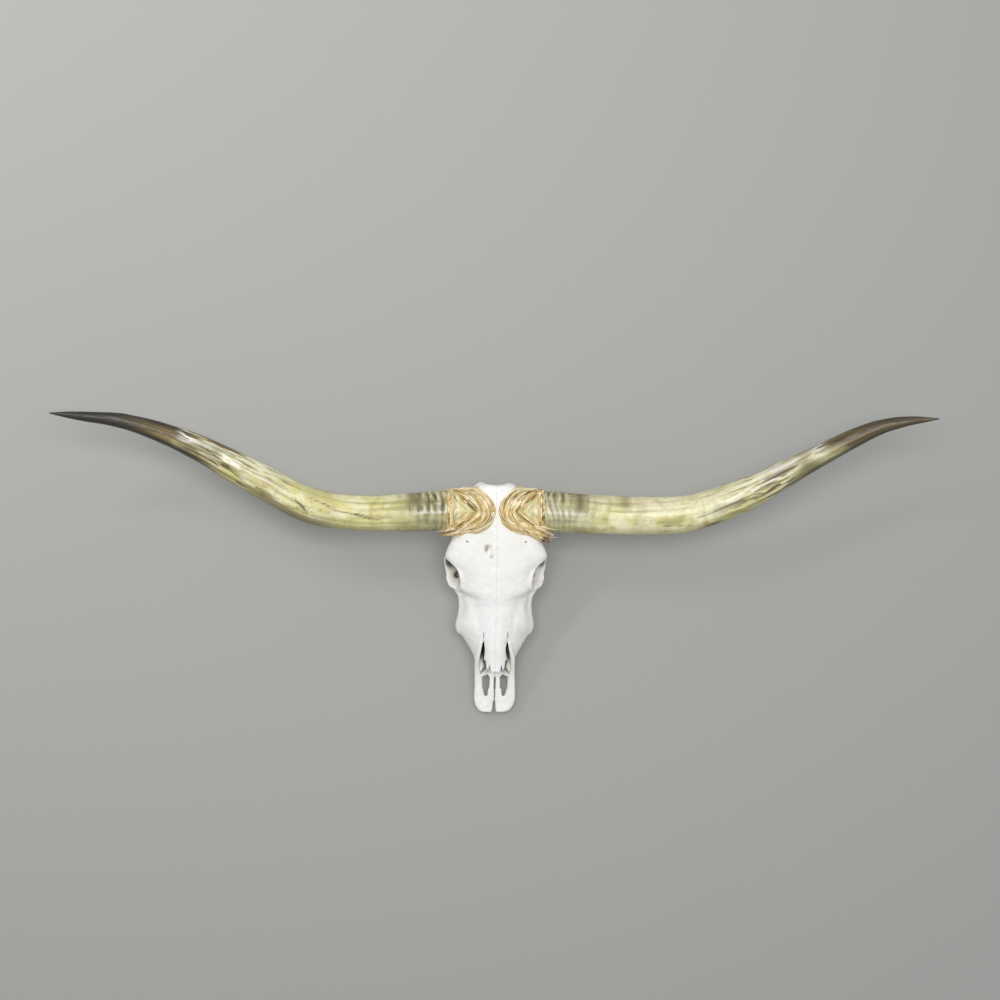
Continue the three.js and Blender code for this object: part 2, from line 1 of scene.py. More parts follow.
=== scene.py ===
"""A longhorn steer skull without its lower jaw, lying on its last molars and jugular processes.

Every place is in millimetres from the nose tip, the skull's midline and the floor, as in the part's
own source: x across, y from nose to poll, z up. Left and right are the animal's, so left is +x.
"""

import math

import bpy
import numpy as np
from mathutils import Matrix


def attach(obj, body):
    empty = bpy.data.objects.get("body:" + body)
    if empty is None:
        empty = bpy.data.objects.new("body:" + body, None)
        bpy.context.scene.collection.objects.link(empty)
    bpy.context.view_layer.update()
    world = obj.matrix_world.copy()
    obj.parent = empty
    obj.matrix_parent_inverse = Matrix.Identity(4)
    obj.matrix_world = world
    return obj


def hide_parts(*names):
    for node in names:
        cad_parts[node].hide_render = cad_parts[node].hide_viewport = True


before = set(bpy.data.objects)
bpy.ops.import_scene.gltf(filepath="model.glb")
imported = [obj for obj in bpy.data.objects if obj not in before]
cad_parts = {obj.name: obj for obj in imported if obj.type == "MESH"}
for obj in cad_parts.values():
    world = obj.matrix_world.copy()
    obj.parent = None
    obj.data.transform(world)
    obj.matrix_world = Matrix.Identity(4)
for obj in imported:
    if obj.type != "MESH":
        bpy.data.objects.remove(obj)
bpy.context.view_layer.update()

# ---------- driving dimensions ----------
NOSE_TO_ORIGIN = 334  # from the nose tip back to the frame's origin
MIDLINE_TO_ORIGIN = 6
LEAN = 0.041  # sideways shift for each millimetre of height
LEAN_LEVEL = 205  # the height that isn't shifted
SKULL_LENGTH = 521
POLL_HEIGHT = 221
ORBIT_HALF = 111
BROW_HALF = 111
FACE_HALF = 86
MUZZLE_HALF = 46
NOSTRIL_HALF = 34
PALATE_HEIGHT = 44
CASE_WAIST = 112
HORN_RADIUS = 46
LAP = 1.1  # how far neighbouring bones run into each other along a suture
FISSURE = (38.5, 84)  # front and back of the opening in the palate
NASAL_TIP = 104
SLOT_APEX = 172
TOOTH_ROW_FRONT = 155
TUBEROSITY = 203
NASAL_BACK = 282
ORBIT_Y = 322
POSTORBITAL = 360
HORN_Y = 457
HORN_Z = 182
BURR = 68
SKIRT_END = {"right": 111, "left": 106}
MIDLINE = -0.25  # how far each half of a pair runs across the midline
STEP = 1.4  # lattice spacing of the bone
SIDES = {"left": 1, "right": -1}


# ---------- lines and sizes ----------
def profile(*stations):
    """A smooth line through (place, size) stations that never overshoots them."""
    at = np.array([s[0] for s in stations], float)
    size = np.array([s[1] for s in stations], float)
    rise = np.diff(size) / np.diff(at)
    slope = np.concatenate([rise[:1], np.zeros(len(at) - 2), rise[-1:]])
    before, after = rise[:-1], rise[1:]
    both = before * after
    steady = both > 0
    slope[1:-1][steady] = 2 * both[steady] / (before + after)[steady]

    def size_at(place):
        place = np.clip(place, at[0], at[-1])
        i = np.clip(np.searchsorted(at, place, "right") - 1, 0, len(at) - 2)
        span = at[i + 1] - at[i]
        t = (place - at[i]) / span
        h = t * t * (3 - 2 * t)
        lean = slope[i] * (1 - t) - slope[i + 1] * t
        return size[i] * (1 - h) + size[i + 1] * h + span * t * (1 - t) * lean

    return size_at


def sized(size):
    """A size along a piece: a line as it is, a line through stations, or one number all along."""
    if callable(size):
        return size
    if isinstance(size, tuple):
        return profile(*size)
    return lambda place: np.full(np.shape(place), float(size))


def run_along(line):
    """How far along a line each of its places is."""
    return np.concatenate([[0], np.cumsum(np.linalg.norm(np.diff(line, axis=0), axis=1))])


def smooth_line(points, count):
    """Evenly spaced places along a smooth line through the points."""
    fine_steps = 24
    p = np.array(points, float)
    p = np.vstack([2 * p[0] - p[1], p, 2 * p[-1] - p[-2]])
    t = np.linspace(0, 1, fine_steps, endpoint=False)[:, None]
    fine = []
    for a, b, c, d in zip(p, p[1:], p[2:], p[3:]):
        before, across, after = (
            max(np.linalg.norm(e) ** 0.5, 1e-4) for e in (b - a, c - b, d - c)
        )
        leave = (b - a) / before - (c - a) / (before + across) + (c - b) / across
        arrive = (c - b) / across - (d - b) / (across + after) + (d - c) / after
        fine.append(
            (2 * t**3 - 3 * t**2 + 1) * b
            + (t**3 - 2 * t**2 + t) * leave * across
            + (3 * t**2 - 2 * t**3) * c
            + (t**3 - t**2) * arrive * across
        )
    fine = np.vstack([*fine, p[-2][None]])
    along = run_along(fine)
    even = np.linspace(0, along[-1], count)
    return np.stack([np.interp(even, along, fine[:, i]) for i in range(3)], 1)


def unit(v):
    return v / np.maximum(np.linalg.norm(v, axis=-1, keepdims=True), 1e-9)


def line_frame(line, up):
    """The directions along a line, across it and rising from it, at each of its places."""
    along = unit(np.gradient(line, axis=0))
    across = unit(np.cross(np.array(up, float), along))
    return along, across, np.cross(along, across)


def fade(t):
    return t * t * (3 - 2 * t)


def ramp(x, start, end):
    """0 before start, 1 after end, smooth between them."""
    return fade(np.clip((x - start) / (end - start), 0, 1))


def bump_at(x, middle, half):
    """1 at the middle, 0 beyond half either side of it."""
    return fade(np.clip(1 - np.abs(x - middle) / half, 0, 1))


def speckle(p, size, seed):
    """Smooth noise from -1 to 1 over points, with features of that size."""
    size = np.broadcast_to(np.asarray(size, float), (3,))
    q = p / size + 500.37
    cell = np.floor(q).astype(np.int64)
    f = fade(q - cell)
    total = np.zeros(len(p))
    for corner in range(8):
        step = np.array([corner & 1, corner >> 1 & 1, corner >> 2 & 1])
        weight = np.prod(np.where(step, f, 1 - f), axis=1)
        n = cell + step
        key = n[:, 0] * 73856093 ^ n[:, 1] * 19349663 ^ n[:, 2] * 83492791 ^ (seed * 2654435761)
        key = (key ^ (key >> 13)) * 1274126177 & 0xFFFFFFFF
        key = (key ^ (key >> 15)) * 2246822519 & 0xFFFFFFFF
        key = key ^ (key >> 13)
        total += weight * ((key & 0xFFFF) / 32767.5 - 1)
    return total


def layered(p, size, seed, layers=3):
    """Speckle with finer and weaker layers on top."""
    size = np.asarray(size, float)
    return sum(speckle(p, size / 2**k, seed + 17 * k) / 2**k for k in range(layers)) / 1.5


# ---------- the lattice that the bone is shaped on ----------
# One half of the skull, each value the distance to the bone's surface, negative inside it.
X = (np.arange(84) + 0.5) * STEP
Y = -6 + np.arange(384) * STEP
Z = -4 + np.arange(176) * STEP
AXES = (X, Y, Z)


def blended(a, b, soft):
    """The smaller of two distances, with a soft crease between them."""
    if soft <= 0:
        return np.minimum(a, b)
    near = np.maximum(soft - np.abs(a - b), 0) / soft
    return np.minimum(a, b) - near * near * soft * 0.25


def shared(a, b, soft):
    """The larger of two distances, with a soft edge."""
    return -blended(-a, -b, soft)


def oval_distance(u, v, wide, tall, square, w=0.0, reach=1.0):
    """Distance from a superellipse `wide` by `tall` in half sizes, rounded off past its end by w."""
    a, b, c = np.abs(u) / wide, np.abs(v) / tall, np.abs(w) / reach
    g = np.maximum((a**square + b**square) ** (1 / square), 1e-5)
    slope = np.sqrt(
        ((a / g) ** (square - 1) / wide) ** 2 + ((b / g) ** (square - 1) / tall) ** 2
    )
    q = np.maximum(np.sqrt(g * g + c * c), 1e-5)
    steep = np.sqrt((g * slope) ** 2 + (c / reach) ** 2) / q
    return (q - 1) / np.maximum(steep, 1e-6)


def mass(span, half, top, bottom, waist, roof=2.0, keel=2.0, ends=(10, 10)):
    """A mass along the skull: `half` wide at its `waist`, from `bottom` to `top`."""
    front, back = span
    half, top, bottom, waist = (sized(size) for size in (half, top, bottom, waist))
    y = np.linspace(front, back, 40)
    low = (0, front, bottom(y).min())
    high = (half(y).max(), back, top(y).max())

    def distance(x, y, z):
        h, t, b, w = (f(y) for f in (half, top, bottom, waist))
        above = z > w
        reach = np.where(above, t - w, w - b)
        power = np.where(above, roof, keel)
        side = oval_distance(x, z - w, h, reach, power)
        return shared(shared(side, front - y, ends[0]), y - back, ends[1])

    return low, high, distance


def limb(path, wide, tall, up=(0, 0, 1), square=2.0, count=26):
    """A limb along a smooth line, `wide` across and `tall` towards `up`, both half sizes."""
    line = smooth_line(path, count)
    along, across, rise = line_frame(line, up)
    wide, tall = sized(wide), sized(tall)
    share = np.linspace(0, 1, count)
    most = max(wide(share).max(), tall(share).max())

    def distance(x, y, z):
        shape = np.broadcast_shapes(x.shape, y.shape, z.shape)
        p = [np.broadcast_to(a, shape).ravel() for a in (x, y, z)]
        best = np.full(p[0].shape, np.inf)
        place = np.zeros(p[0].shape)
        for k in range(count - 1):
            a = line[k]
            ab = line[k + 1] - a
            d = [p[i] - a[i] for i in range(3)]
            t = np.clip((d[0] * ab[0] + d[1] * ab[1] + d[2] * ab[2]) / (ab @ ab), 0, 1)
            gap = sum((d[i] - t * ab[i]) ** 2 for i in range(3))
            closer = gap < best
            best = np.where(closer, gap, best)
            place = np.where(closer, k + t, place)
        i = np.minimum(place.astype(int), count - 2)
        f = (place - i)[:, None]
        middle, ahead, aside, above = (
            g[i] * (1 - f) + g[i + 1] * f for g in (line, along, across, rise)
        )
        off = np.stack(p, 1) - middle
        u, v, w = ((off * way).sum(1) for way in (aside, above, ahead))
        s = place / (count - 1)
        ws, ts = wide(s), tall(s)
        return oval_distance(u, v, ws, ts, square, w, np.minimum(ws, ts)).reshape(shape)

    return line.min(0) - most, line.max(0) + most, distance


def blob(centre, radii):
    centre, radii = np.array(centre, float), np.array(radii, float)

    def distance(x, y, z):
        d = [(a - c) for a, c in zip((x, y, z), centre)]
        q = np.sqrt(sum((a / r) ** 2 for a, r in zip(d, radii)))
        slope = np.sqrt(sum((a / r**2) ** 2 for a, r in zip(d, radii)))
        return (q - 1) * q / np.maximum(slope, 1e-6)

    return centre - radii, centre + radii, distance


def outline_distance(corners, u, v):
    """Signed distance from a closed outline for every pairing of u and v."""
    c = np.array(corners, float)
    u, v = u[:, None], v[None, :]
    best = np.full(np.broadcast_shapes(u.shape, v.shape), np.inf)
    inside = np.zeros(best.shape, bool)
    for (a, b), (e, f) in zip(c, np.roll(c, -1, axis=0)):
        du, dv = e - a, f - b
        t = np.clip(((u - a) * du + (v - b) * dv) / (du * du + dv * dv), 0, 1)
        best = np.minimum(best, (u - a - t * du) ** 2 + (v - b - t * dv) ** 2)
        if dv:
            crossed = ((b > v) != (f > v)) & (u < du * (v - b) / dv + a)
            inside ^= crossed
    return np.sqrt(best) * np.where(inside, -1, 1)


def from_above(corners, low, high, soft=1.0):
    """An upright block over an (x, y) outline."""
    c = np.array(corners, float)

    def distance(x, y, z):
        flat = outline_distance(corners, x.ravel(), y.ravel())[:, :, None]
        return shared(shared(flat, low - z, soft), z - high, soft)

    return (*c.min(0), low), (*c.max(0), high), distance


def from_side(corners, near, far, soft=1.0):
    """A block across the skull over a (y, z) outline."""
    c = np.array(corners, float)

    def distance(x, y, z):
        flat = outline_distance(corners, y.ravel(), z.ravel())[None]
        return shared(shared(flat, near - x, soft), x - far, soft)

    return (near, *c.min(0)), (far, *c.max(0)), distance


class Lattice:
    """The half skull as it is built up and cut away."""

    def __init__(self):
        self.field = np.full([len(a) for a in AXES], 60, np.float32)

    def _near(self, shape, margin):
        low, high, distance = shape
        cut = tuple(
            slice(*np.searchsorted(axis, (a - margin, b + margin)))
            for axis, a, b in zip(AXES, low, high)
        )
        x, y, z = (axis[c] for axis, c in zip(AXES, cut))
        return cut, distance(x[:, None, None], y[None, :, None], z[None, None, :])

    def join(self, shape, soft=4):
        cut, d = self._near(shape, soft + 6)
        self.field[cut] = blended(self.field[cut], d, soft)

    def cut(self, shape, soft=2):
        cut, d = self._near(shape, soft + 6)
        self.field[cut] = shared(self.field[cut], -d, soft)


# ---------- the skull's lines, from nose to poll ----------
roof_line = profile(
    (NASAL_TIP, 108), (178, 134), (253, 163), (NASAL_BACK, 173), (330, 190), (390, 207),
    (440, 217), (485, POLL_HEIGHT), (505, 219), (SKULL_LENGTH, 208),
)
face_half = profile(
    (112, 41), (137, 51), (172, 70), (TUBEROSITY, FACE_HALF - 2), (216, 82), (248, 77),
    (283, 79), (310, 76), (335, 62),
)
crest_height = profile((112, 54), (160, 66), (TUBEROSITY, 80), (250, 92), (335, 104))
palate_height = profile((112, PALATE_HEIGHT), (160, PALATE_HEIGHT), (290, 38), (335, 42))
brow_half = profile(
    (262, 42), (283, 74), (318, 82), (345, 102), (POSTORBITAL, BROW_HALF), (374, 107),
    (390, 99.5), (405, 91), (430, 78), (460, 66), (495, 50), (SKULL_LENGTH, 38),
)
brow_edge = profile(
    (262, 136), (300, 139), (345, 156), (POSTORBITAL, 159), (400, 168), (460, 176),
    (SKULL_LENGTH, 182),
)
ORBIT_RIM = np.array([ORBIT_HALF - 18, ORBIT_Y, 134.0])
ORBIT_ROOT = np.array([34, ORBIT_Y + 18, float(CASE_WAIST)])
ORBIT_OUT = (99.5, ORBIT_Y - 3, 136.6)
ORBIT_FLATNESS = 0.92

HORNS = {
    "right": {
        "line": [
            (-BURR, HORN_Y, HORN_Z), (-123, 457, 184), (-296, 453, 188), (-404, 469, 196),
            (-526, 531, 208), (-659, 601, 228), (-794, 648, 254), (-886, 659, 274),
            (-950, 665, 288),
        ],
        "radius": profile(
            (0, HORN_RADIUS), (0.15, 41), (0.25, 38), (0.34, 38.5), (0.45, 36.5), (0.52, 34.5),
            (0.62, 29.5), (0.76, 20.5), (0.88, 13), (0.95, 8), (1, 1.2),
        ),
    },
    "left": {
        "line": [
            (BURR, HORN_Y, HORN_Z), (138, 454, 184), (312, 447, 188), (419, 453, 196),
            (547, 498, 208), (677, 568, 228), (801, 631, 254), (861, 647, 270),
            (933, 653, 288),
        ],
        "radius": profile(
            (0, HORN_RADIUS), (0.12, 43), (0.25, 41.5), (0.38, 39.5), (0.5, 36), (0.58, 30.5),
            (0.7, 24), (0.8, 20), (0.88, 14.5), (0.95, 8), (1, 1.2),
        ),
    },
}
HORN_FLATNESS = 0.97
boss_radius = profile(
    (3, 2.5), (6, 14.5), (9, 28), (15, 38), (28, 44.5), (45, 49), (BURR, HORN_RADIUS)
)
boss_rise = profile((3, 32), (6, 21.5), (9, 11), (15, 5), (28, 5), (45, 3), (BURR, 0))


# ---------- masses of bone ----------
def add_masses(bone):
    face = mass(
        (108, 335), face_half, lambda y: roof_line(y) - 1, palate_height, crest_height,
        roof=1.75, keel=3, ends=(6, 30),
    )
    brow = mass(
        (258, SKULL_LENGTH - 1), brow_half, roof_line,
        lambda y: np.minimum(brow_edge(y) - 8, 168), brow_edge, roof=2.4, keel=2.4, ends=(22, 12),
    )
    braincase = mass(
        (300, 497), ((300, 34), (340, 44), (400, 56), (450, 60), (495, 58)),
        lambda y: roof_line(y) - 22, ((300, 72), (360, 66), (430, 54), (495, 60)),
        CASE_WAIST, roof=2.6, keel=2.6, ends=(20, 8),
    )
    occiput = mass(
        (452, 510), ((452, 62), (474, 84), (494, 86), (509, 80)), 188, 50,
        92, roof=2.2, keel=2.6, ends=(16, 9),
    )
    base = mass(
        (316, 507), ((300, 13), (365, 17), (430, 24), (500, 33)), 90,
        ((318, 50), (505, 41)), 66, keel=2.6, ends=(10, 8),
    )
    bone.join(face, 0)
    bone.join(brow, 14)
    bone.join(braincase, 8)
    bone.join(occiput, 10)
    bone.join(base, 8)


def boss():
    """The bony boss under the horn, from near the midline to the burr."""

    def distance(x, y, z):
        r = boss_radius(x) - 1.0
        side = oval_distance(y - HORN_Y, z - HORN_Z - boss_rise(x), r, r * HORN_FLATNESS, 2)
        return shared(shared(side, 3 - x, 2), x - (BURR - 0.6), 1)

    return (3, HORN_Y - 50, 134), (BURR, HORN_Y + 50, 236), distance


def orbit_cup(path, size):
    size = sized(size)
    return limb(path, size, lambda t: size(t) * ORBIT_FLATNESS, count=14)


def orbit_ring(size, lift):
    """The path round the rim of the eye socket."""
    out = unit(ORBIT_RIM - ORBIT_ROOT)
    along = unit(np.cross((0, 0, 1.0), out))
    rise = np.cross(out, along)
    a = np.linspace(0, 1, 15)[:, None] * 2 * math.pi
    return ORBIT_RIM + out * lift + size * (along * np.cos(a) + rise * np.sin(a) * ORBIT_FLATNESS)


def add_cheeks(bone):
    size = profile((0, 22), (0.45, 32), (0.8, 38), (1, 40))
    bone.join(orbit_cup([ORBIT_ROOT, ORBIT_RIM - [4, -1.5, 1.5]], size), 9)
    outer = ORBIT_HALF - 8
    arch = [
        (82, 284, 92), (outer - 6, 316, 95), (outer - 3, 345, 102), (outer - 9, 378, 112),
        (88, 408, 113), (75, 438, 106), (58, 452, 100),
    ]
    wide = profile((0, 8), (0.2, 6.5), (0.6, 5), (0.85, 8), (1, 12))
    tall = profile((0, 11), (0.35, 11), (0.6, 9), (0.85, 10), (1, 12))
    bone.join(limb(arch, wide, tall, square=2.4), 7)
    corner = [(103, 308, 100), (97, 293, 105), (84, 285, 113)]
    bone.join(limb(corner, 5.5, 7), 8)
    bar = [(100, 360, 108), (101, 362, 130), (98, POSTORBITAL - 1, 156)]
    wide = profile((0, 12), (0.5, 8), (1, 10))
    bone.join(limb(bar, wide, 4.5, up=(1, 0, 0), square=2.4), 4)
    crest = [
        (FACE_HALF - 9, 190, 74), (FACE_HALF - 7, 204, 80), (74, 232, 88), (75, 262, 94), (84, 290, 96),
    ]
    bone.join(limb(crest, 5.5, ((0, 4), (0.3, 7), (1, 5))), 14)
    bone.join(limb([(48, 424, 92), (66, 420, 88), (83, 412, 94)], 13, 9), 7)
    bone.join(limb([(52, 448, 62), (70, 446, 80), (84, 443, 94)], 9, 9), 5)


def add_back(bone):
    nape = limb(
        [(0, 499, 200), (0, 510, 172), (0, 508, 140), (0, 504, 108)],
        8, ((0, 8), (0.5, 6), (1, 3)), up=(0, 1, 0),
    )
    bone.join(nape, 9)
    ridge = [
        (0, 502, 182), (30, 500, 174), (62, 496, 152), (81, 488, 122), (84, 478, 96), (80, 464, 84),
    ]
    bone.join(limb(ridge, ((0, 5), (1, 3.4)), ((0, 5), (1, 4))), 9)
    bone.join(blob((31, 500, 62), (19, 20, 28)), 5)
    bone.join(blob((44, 444, 47), (13, 24, 31)), 6)
    bone.join(limb([(48, 424, 40), (52, 414, 28), (54, 406, 20)], ((0, 5), (1, 1.8)), 2.6), 5)
    jugular = [(72, 486, 84), (70, 484, 52), (63, 480, 22), (60, 478, -2)]
    wide, tall = profile((0, 18), (0.5, 13), (1, 7)), profile((0, 12), (0.6, 6.5), (1, 5))
    bone.join(limb(jugular, wide, tall, up=(1, 0, 0)), 8)
    bone.join(blob((11, 432, 46), (9, 13, 9)), 6)
    bone.join(blob((13, 484, 41), (8, 14, 6)), 6)


def add_palate(bone):
    wing = [(30, 296, 44), (25, 325, 46), (21, 350, 50), (20, 378, 62)]
    bone.join(limb(wing, 4, ((0, 12), (0.5, 22), (1, 12)), square=2.6), 6)
    hook = [(20, 352, 40), (21, 368, 31), (24, 381, 27)]
    bone.join(limb(hook, 2, ((0, 7), (0.6, 3), (1, 1.6))), 4)
    bone.join(blob((56, 296, 66), (24, 34, 36)), 10)
    gum = [(40, 138, 42), (50, 170, 38), (58, 215, 35), (60, 255, 31), (55, 300, 32)]
    wide = profile((0, 4), (0.3, 10.5), (0.8, 13), (1, 9))
    tall = profile((0, 6), (0.3, 13), (1, 12))
    bone.join(limb(gum, wide, tall, square=2.6), 6)
    above_teeth = [(56, 196, 51), (58, 230, 52), (58, 252, 52), (62, 274, 54)]
    bone.join(limb(above_teeth, 9, 7), 8)


# ---------- hollows ----------
def cut_hollows(bone):
    cavity = mass(
        (90, 240), ((100, NOSTRIL_HALF), (160, NOSTRIL_HALF), (205, 28), (238, 14)),
        lambda y: roof_line(y) - 7.5, PALATE_HEIGHT + 4, 72, roof=2.6, keel=3.2,
        ends=(1, 20),
    )
    bone.cut(cavity, 3)
    magnum = limb(
        [(0, 438, 84), (0, 470, 78), (0, 536, 66)], ((0, 10), (0.3, 24), (0.55, 20), (1, 22)),
        ((0, 8), (0.3, 22), (0.55, 19), (1, 22)),
    )
    bone.cut(magnum, 4)
    choana = [(0, 262, 62), (0, 315, 56), (0, 372, 48)]
    bone.cut(limb(choana, 15, ((0, 12), (0.5, 15), (1, 22)), square=2.6), 3)
    x, y, z = ORBIT_ROOT
    size = profile((0, 6), (0.2, 20), (0.55, 31), (0.85, 35.5), (1, 40))
    bone.cut(orbit_cup([(x + 6, y - 2, z + 2), ORBIT_OUT], size), 3.5)
    deep = [(96, 345, 132), (84, 341, 112), (64, 338, 100)]
    bone.cut(limb(deep, ((0, 7), (1, 13)), ((0, 7), (1, 13))), 3)
    slot = [
        (21.5, 90), (22.5, 135), (25, 162), (26.6, SLOT_APEX), (28.2, SLOT_APEX), (31, 155),
        (36.5, 115), (37, 90),
    ]
    bone.cut(from_above(slot, 62, 160), 1.5)
    # Fossae and grooves.
    bone.cut(blob((103, 243, 122), (27, 34, 24)), 16)
    bone.cut(blob((74, 424, 78), (20, 9, 7)), 6)
    bone.cut(limb([(0, 300, 60), (0, 330, 56)], 11, 10), 6)
    groove = [(60, 440, 212), (61, 405, 211), (62, 388, 207), (58, 352, 199), (56, 326, 192)]
    bone.cut(limb(groove, ((0, 2), (0.5, 6), (1, 2)), ((0, 2), (0.5, 3.4), (1, 1.5))), 8)
    palatine = [(24, 264, 38), (24, 230, 41), (24, 175, 42)]
    bone.cut(limb(palatine, ((0, 4), (1, 1.5)), ((0, 3.4), (1, 1.2))), 3)


def cut_holes(bone):
    """The canals that nerves and vessels once ran through."""
    canals = [
        ([(64, 391, 194), (63, 387, 225)], 2.3),
        ([(66, 148, 66), (57, 164, 70), (52, 186, 76)], 4.6),
        ([(88, 283, 148), (72, 296, 142)], 2.4),
        ([(90, 282, 138), (74, 294, 133)], 2.0),
        ([(96, 441, 103), (72, 446, 84)], 4.6),
        ([(24, 505, 44), (20, 486, 62)], 3.2),
        ([(36, 400, 58), (30, 398, 84)], 4.8),
        ([(40, 352, 96), (24, 366, 92)], 4.4),
        ([(42, 344, 112), (26, 356, 112)], 3.6),
        ([(24, 270, 30), (24, 262, 50)], 3.6),
        ([(76, 494, 130), (60, 486, 128)], 3.2),
        ([(44, 470, 50), (38, 462, 70)], 4.2),
        ([(27.3, 178, 156), (27.0, 178, 110)], 1.5),
        ([(27.5, 183, 156), (27.1, 183, 110)], 1.6),
        ([(27.6, 188, 156), (27.2, 188, 110)], 1.2),
        ([(84.5, 314, 116), (81, 316, 96), (74, 322, 78)], 4.4),
    ]
    for path, size in canals:
        bone.cut(limb(path, size, size * 0.9, up=(1, 0, 0.2), count=8), 1.6)


# ---------- muzzle ----------
def premaxilla_plate():
    outer = profile((0, 24), (4, 33), (10, 39), (22, MUZZLE_HALF - 1.5), (56, MUZZLE_HALF))
    inner = profile((0, 4.5), (20, 2.4), (60, 1.2))
    height = profile((0, 26), (60, 39))

    def distance(x, y, z):
        middle, reach = (outer(y) + inner(y)) / 2, (outer(y) - inner(y)) / 2
        side = oval_distance(x - middle, z - height(y), reach, 7.5, 2.6)
        return shared(shared(side, 0.8 - y, 5), y - 56, 6)

    return (0, -2, 18), (MUZZLE_HALF, 58, 48), distance


def nasal_roof():
    half = profile((NASAL_TIP, 20.5), (125, 22), (160, 23), (180, 27), (253, 26))

    def distance(x, y, z):
        share = np.abs(x) / half(y)
        top = roof_line(y) + 1.5 - 3.5 * ramp(y, 185, 250)
        top = top - 1.2 * share - 6.8 * np.maximum(share - 0.35, 0) ** 1.6 / 0.5
        slab = shared(z - top, top - 6.4 - z, 3)
        return shared(shared(shared(slab, np.abs(x) - half(y), 3), NASAL_TIP - 4 - y, 2), y - 240, 8)

    return (0, NASAL_TIP - 6, 90), (30, 242, 164), distance


def add_muzzle(bone):
    bone.join(premaxilla_plate(), 2)
    bar = [(36.5, 30, 33), (36.5, 75, 45), (40, 105, 57), (40, 130, 74), (36, 150, 94), (31, 170, 113)]
    wide = profile((0, 9), (0.25, 9.3), (0.45, 6), (1, 3.6))
    tall = profile((0, 7), (0.4, 11), (0.7, 17), (1, 8))
    bone.join(limb(bar, wide, tall, square=3.2), 4)
    middle = [(7, 30, 32), (7, 70, 40), (6, 112, 47)]
    bone.join(limb(middle, ((0, 5.8), (1, 4.4)), ((0, 6.5), (1, 4)), square=2.6), 3)
    start = FISSURE[1]
    plate = [(-1, start), (38, start), (42, 112), (46, 160), (-1, 160)]
    bone.join(from_above(plate, PALATE_HEIGHT - 3, PALATE_HEIGHT + 5, 4), 5)
    bone.join(nasal_roof(), 2)
    # The scrolls along the side walls of the nose.
    scroll = [(31, 100, 57), (26, 116, 62), (20, 150, 70), (16, 214, 82)]
    bone.join(limb(scroll, ((0, 3), (0.2, 7), (1, 7)), ((0, 3), (0.2, 6), (1, 8))), 3)
    bone.cut(limb([(22, 96, 60), (19, 118, 65), (17, 160, 74)], 3, 2.2), 2)
    spur = [(31, 82, 50), (27, 91, 56), (19, 99, 61), (15, 114, 66)]
    bone.join(limb(spur, 2.2, ((0, 2.2), (1, 3))), 2)
    upper = [(22, 128, 104), (17, 160, 112), (13, 214, 128)]
    bone.join(limb(upper, 4, ((0, 3), (1, 8))), 3)


def trim(bone):
    front, back = FISSURE
    fissure = [
        (18, 0), (21, 0), (23.6, 0.1), (26, 0.32), (28, 0.66), (28, 0.88), (26, 0.98), (21, 1.03),
        (17.2, 1.1), (15.2, 1.02), (15, 0.3), (16, 0.06),
    ]
    bone.cut(from_above([(x, front + (back - front) * t) for x, t in fissure], 0, 80), 2)
    poll = [(-1, 514.5), (10, 515), (24, 518), (40, 522), (60, 540), (-1, 540)]
    bone.cut(from_above(poll, 130, 240, 2), 8)
    tip = NASAL_TIP
    notch = [(9, tip - 8), (13.5, tip + 12), (15.5, tip - 1), (24, tip + 6), (26, tip - 8)]
    bone.cut(from_above(notch, 80, 140), 2)
    bone.cut(from_above([(-20, 196), (130, 196), (130, 540), (-20, 540)], -30, 0), 0)
    root = np.array(HORNS["left"]["line"][:2], float)
    root[0, 0] -= 1
    seat = limb(root, HORN_RADIUS + 0.5, HORN_RADIUS * HORN_FLATNESS + 0.5, count=6)
    bone.cut(seat, 0)


def whole_skull():
    bone = Lattice()
    add_masses(bone)
    add_cheeks(bone)
    add_back(bone)
    add_palate(bone)
    bone.join(boss(), 3)
    bone.join(limb(orbit_ring(37.5, -2), 3.6, 3.2, count=40), 5)
    cut_hollows(bone)
    add_muzzle(bone)
    vomer = from_side([(98, 44), (122, 66), (162, 82), (212, 90), (236, 44)], -2, 1.4, 1)
    bone.join(vomer, 1)
    cut_holes(bone)
    trim(bone)
    return bone.field


# ---------- parting the skull into its bones ----------
def ripple(axes, size, seed):
    """Smooth noise over a lattice, for the wander of the sutures."""
    rng = np.random.default_rng(seed)
    values = rng.uniform(-1, 1, [int((a[-1] - a[0]) / size) + 3 for a in axes]).astype(np.float32)
    for i, axis in enumerate(axes):
        p = (axis - axis[0]) / size
        cell = np.floor(p).astype(int)
        f = fade(p - cell).reshape([-1 if k == i else 1 for k in range(3)]).astype(np.float32)
        values = np.take(values, cell, axis=i) * (1 - f) + np.take(values, cell + 1, axis=i) * f
    return values


def lattice_axes(paired):
    """The half lattice's axes with two columns past the midline, or the whole skull's."""
    return (np.concatenate([-X[1::-1], X]) if paired else np.concatenate([-X[::-1], X]), Y, Z)


def widened(field, paired):
    return np.concatenate([field[1::-1] if paired else field[::-1], field])


def side_region(corners, near, far):
    return outline_distance(corners, Y, Z)[None].astype(np.float32), ("x", near, far)


def plan_region(corners, low, high):
    return outline_distance(corners, X, Y)[:, :, None].astype(np.float32), ("z", low, high)


def region_field(parts, wander):
    """The union of regions, each an outline with a wandering edge between two straight limits."""
    whole = None
    for flat, (axis, near, far) in parts:
        place = X[:, None, None] if axis == "x" else Z[None, None, :]
        limits = np.maximum(near - place, place - far).astype(np.float32)
        one = np.maximum(flat + wander, limits)
        whole = one if whole is None else np.minimum(whole, one)
    return whole


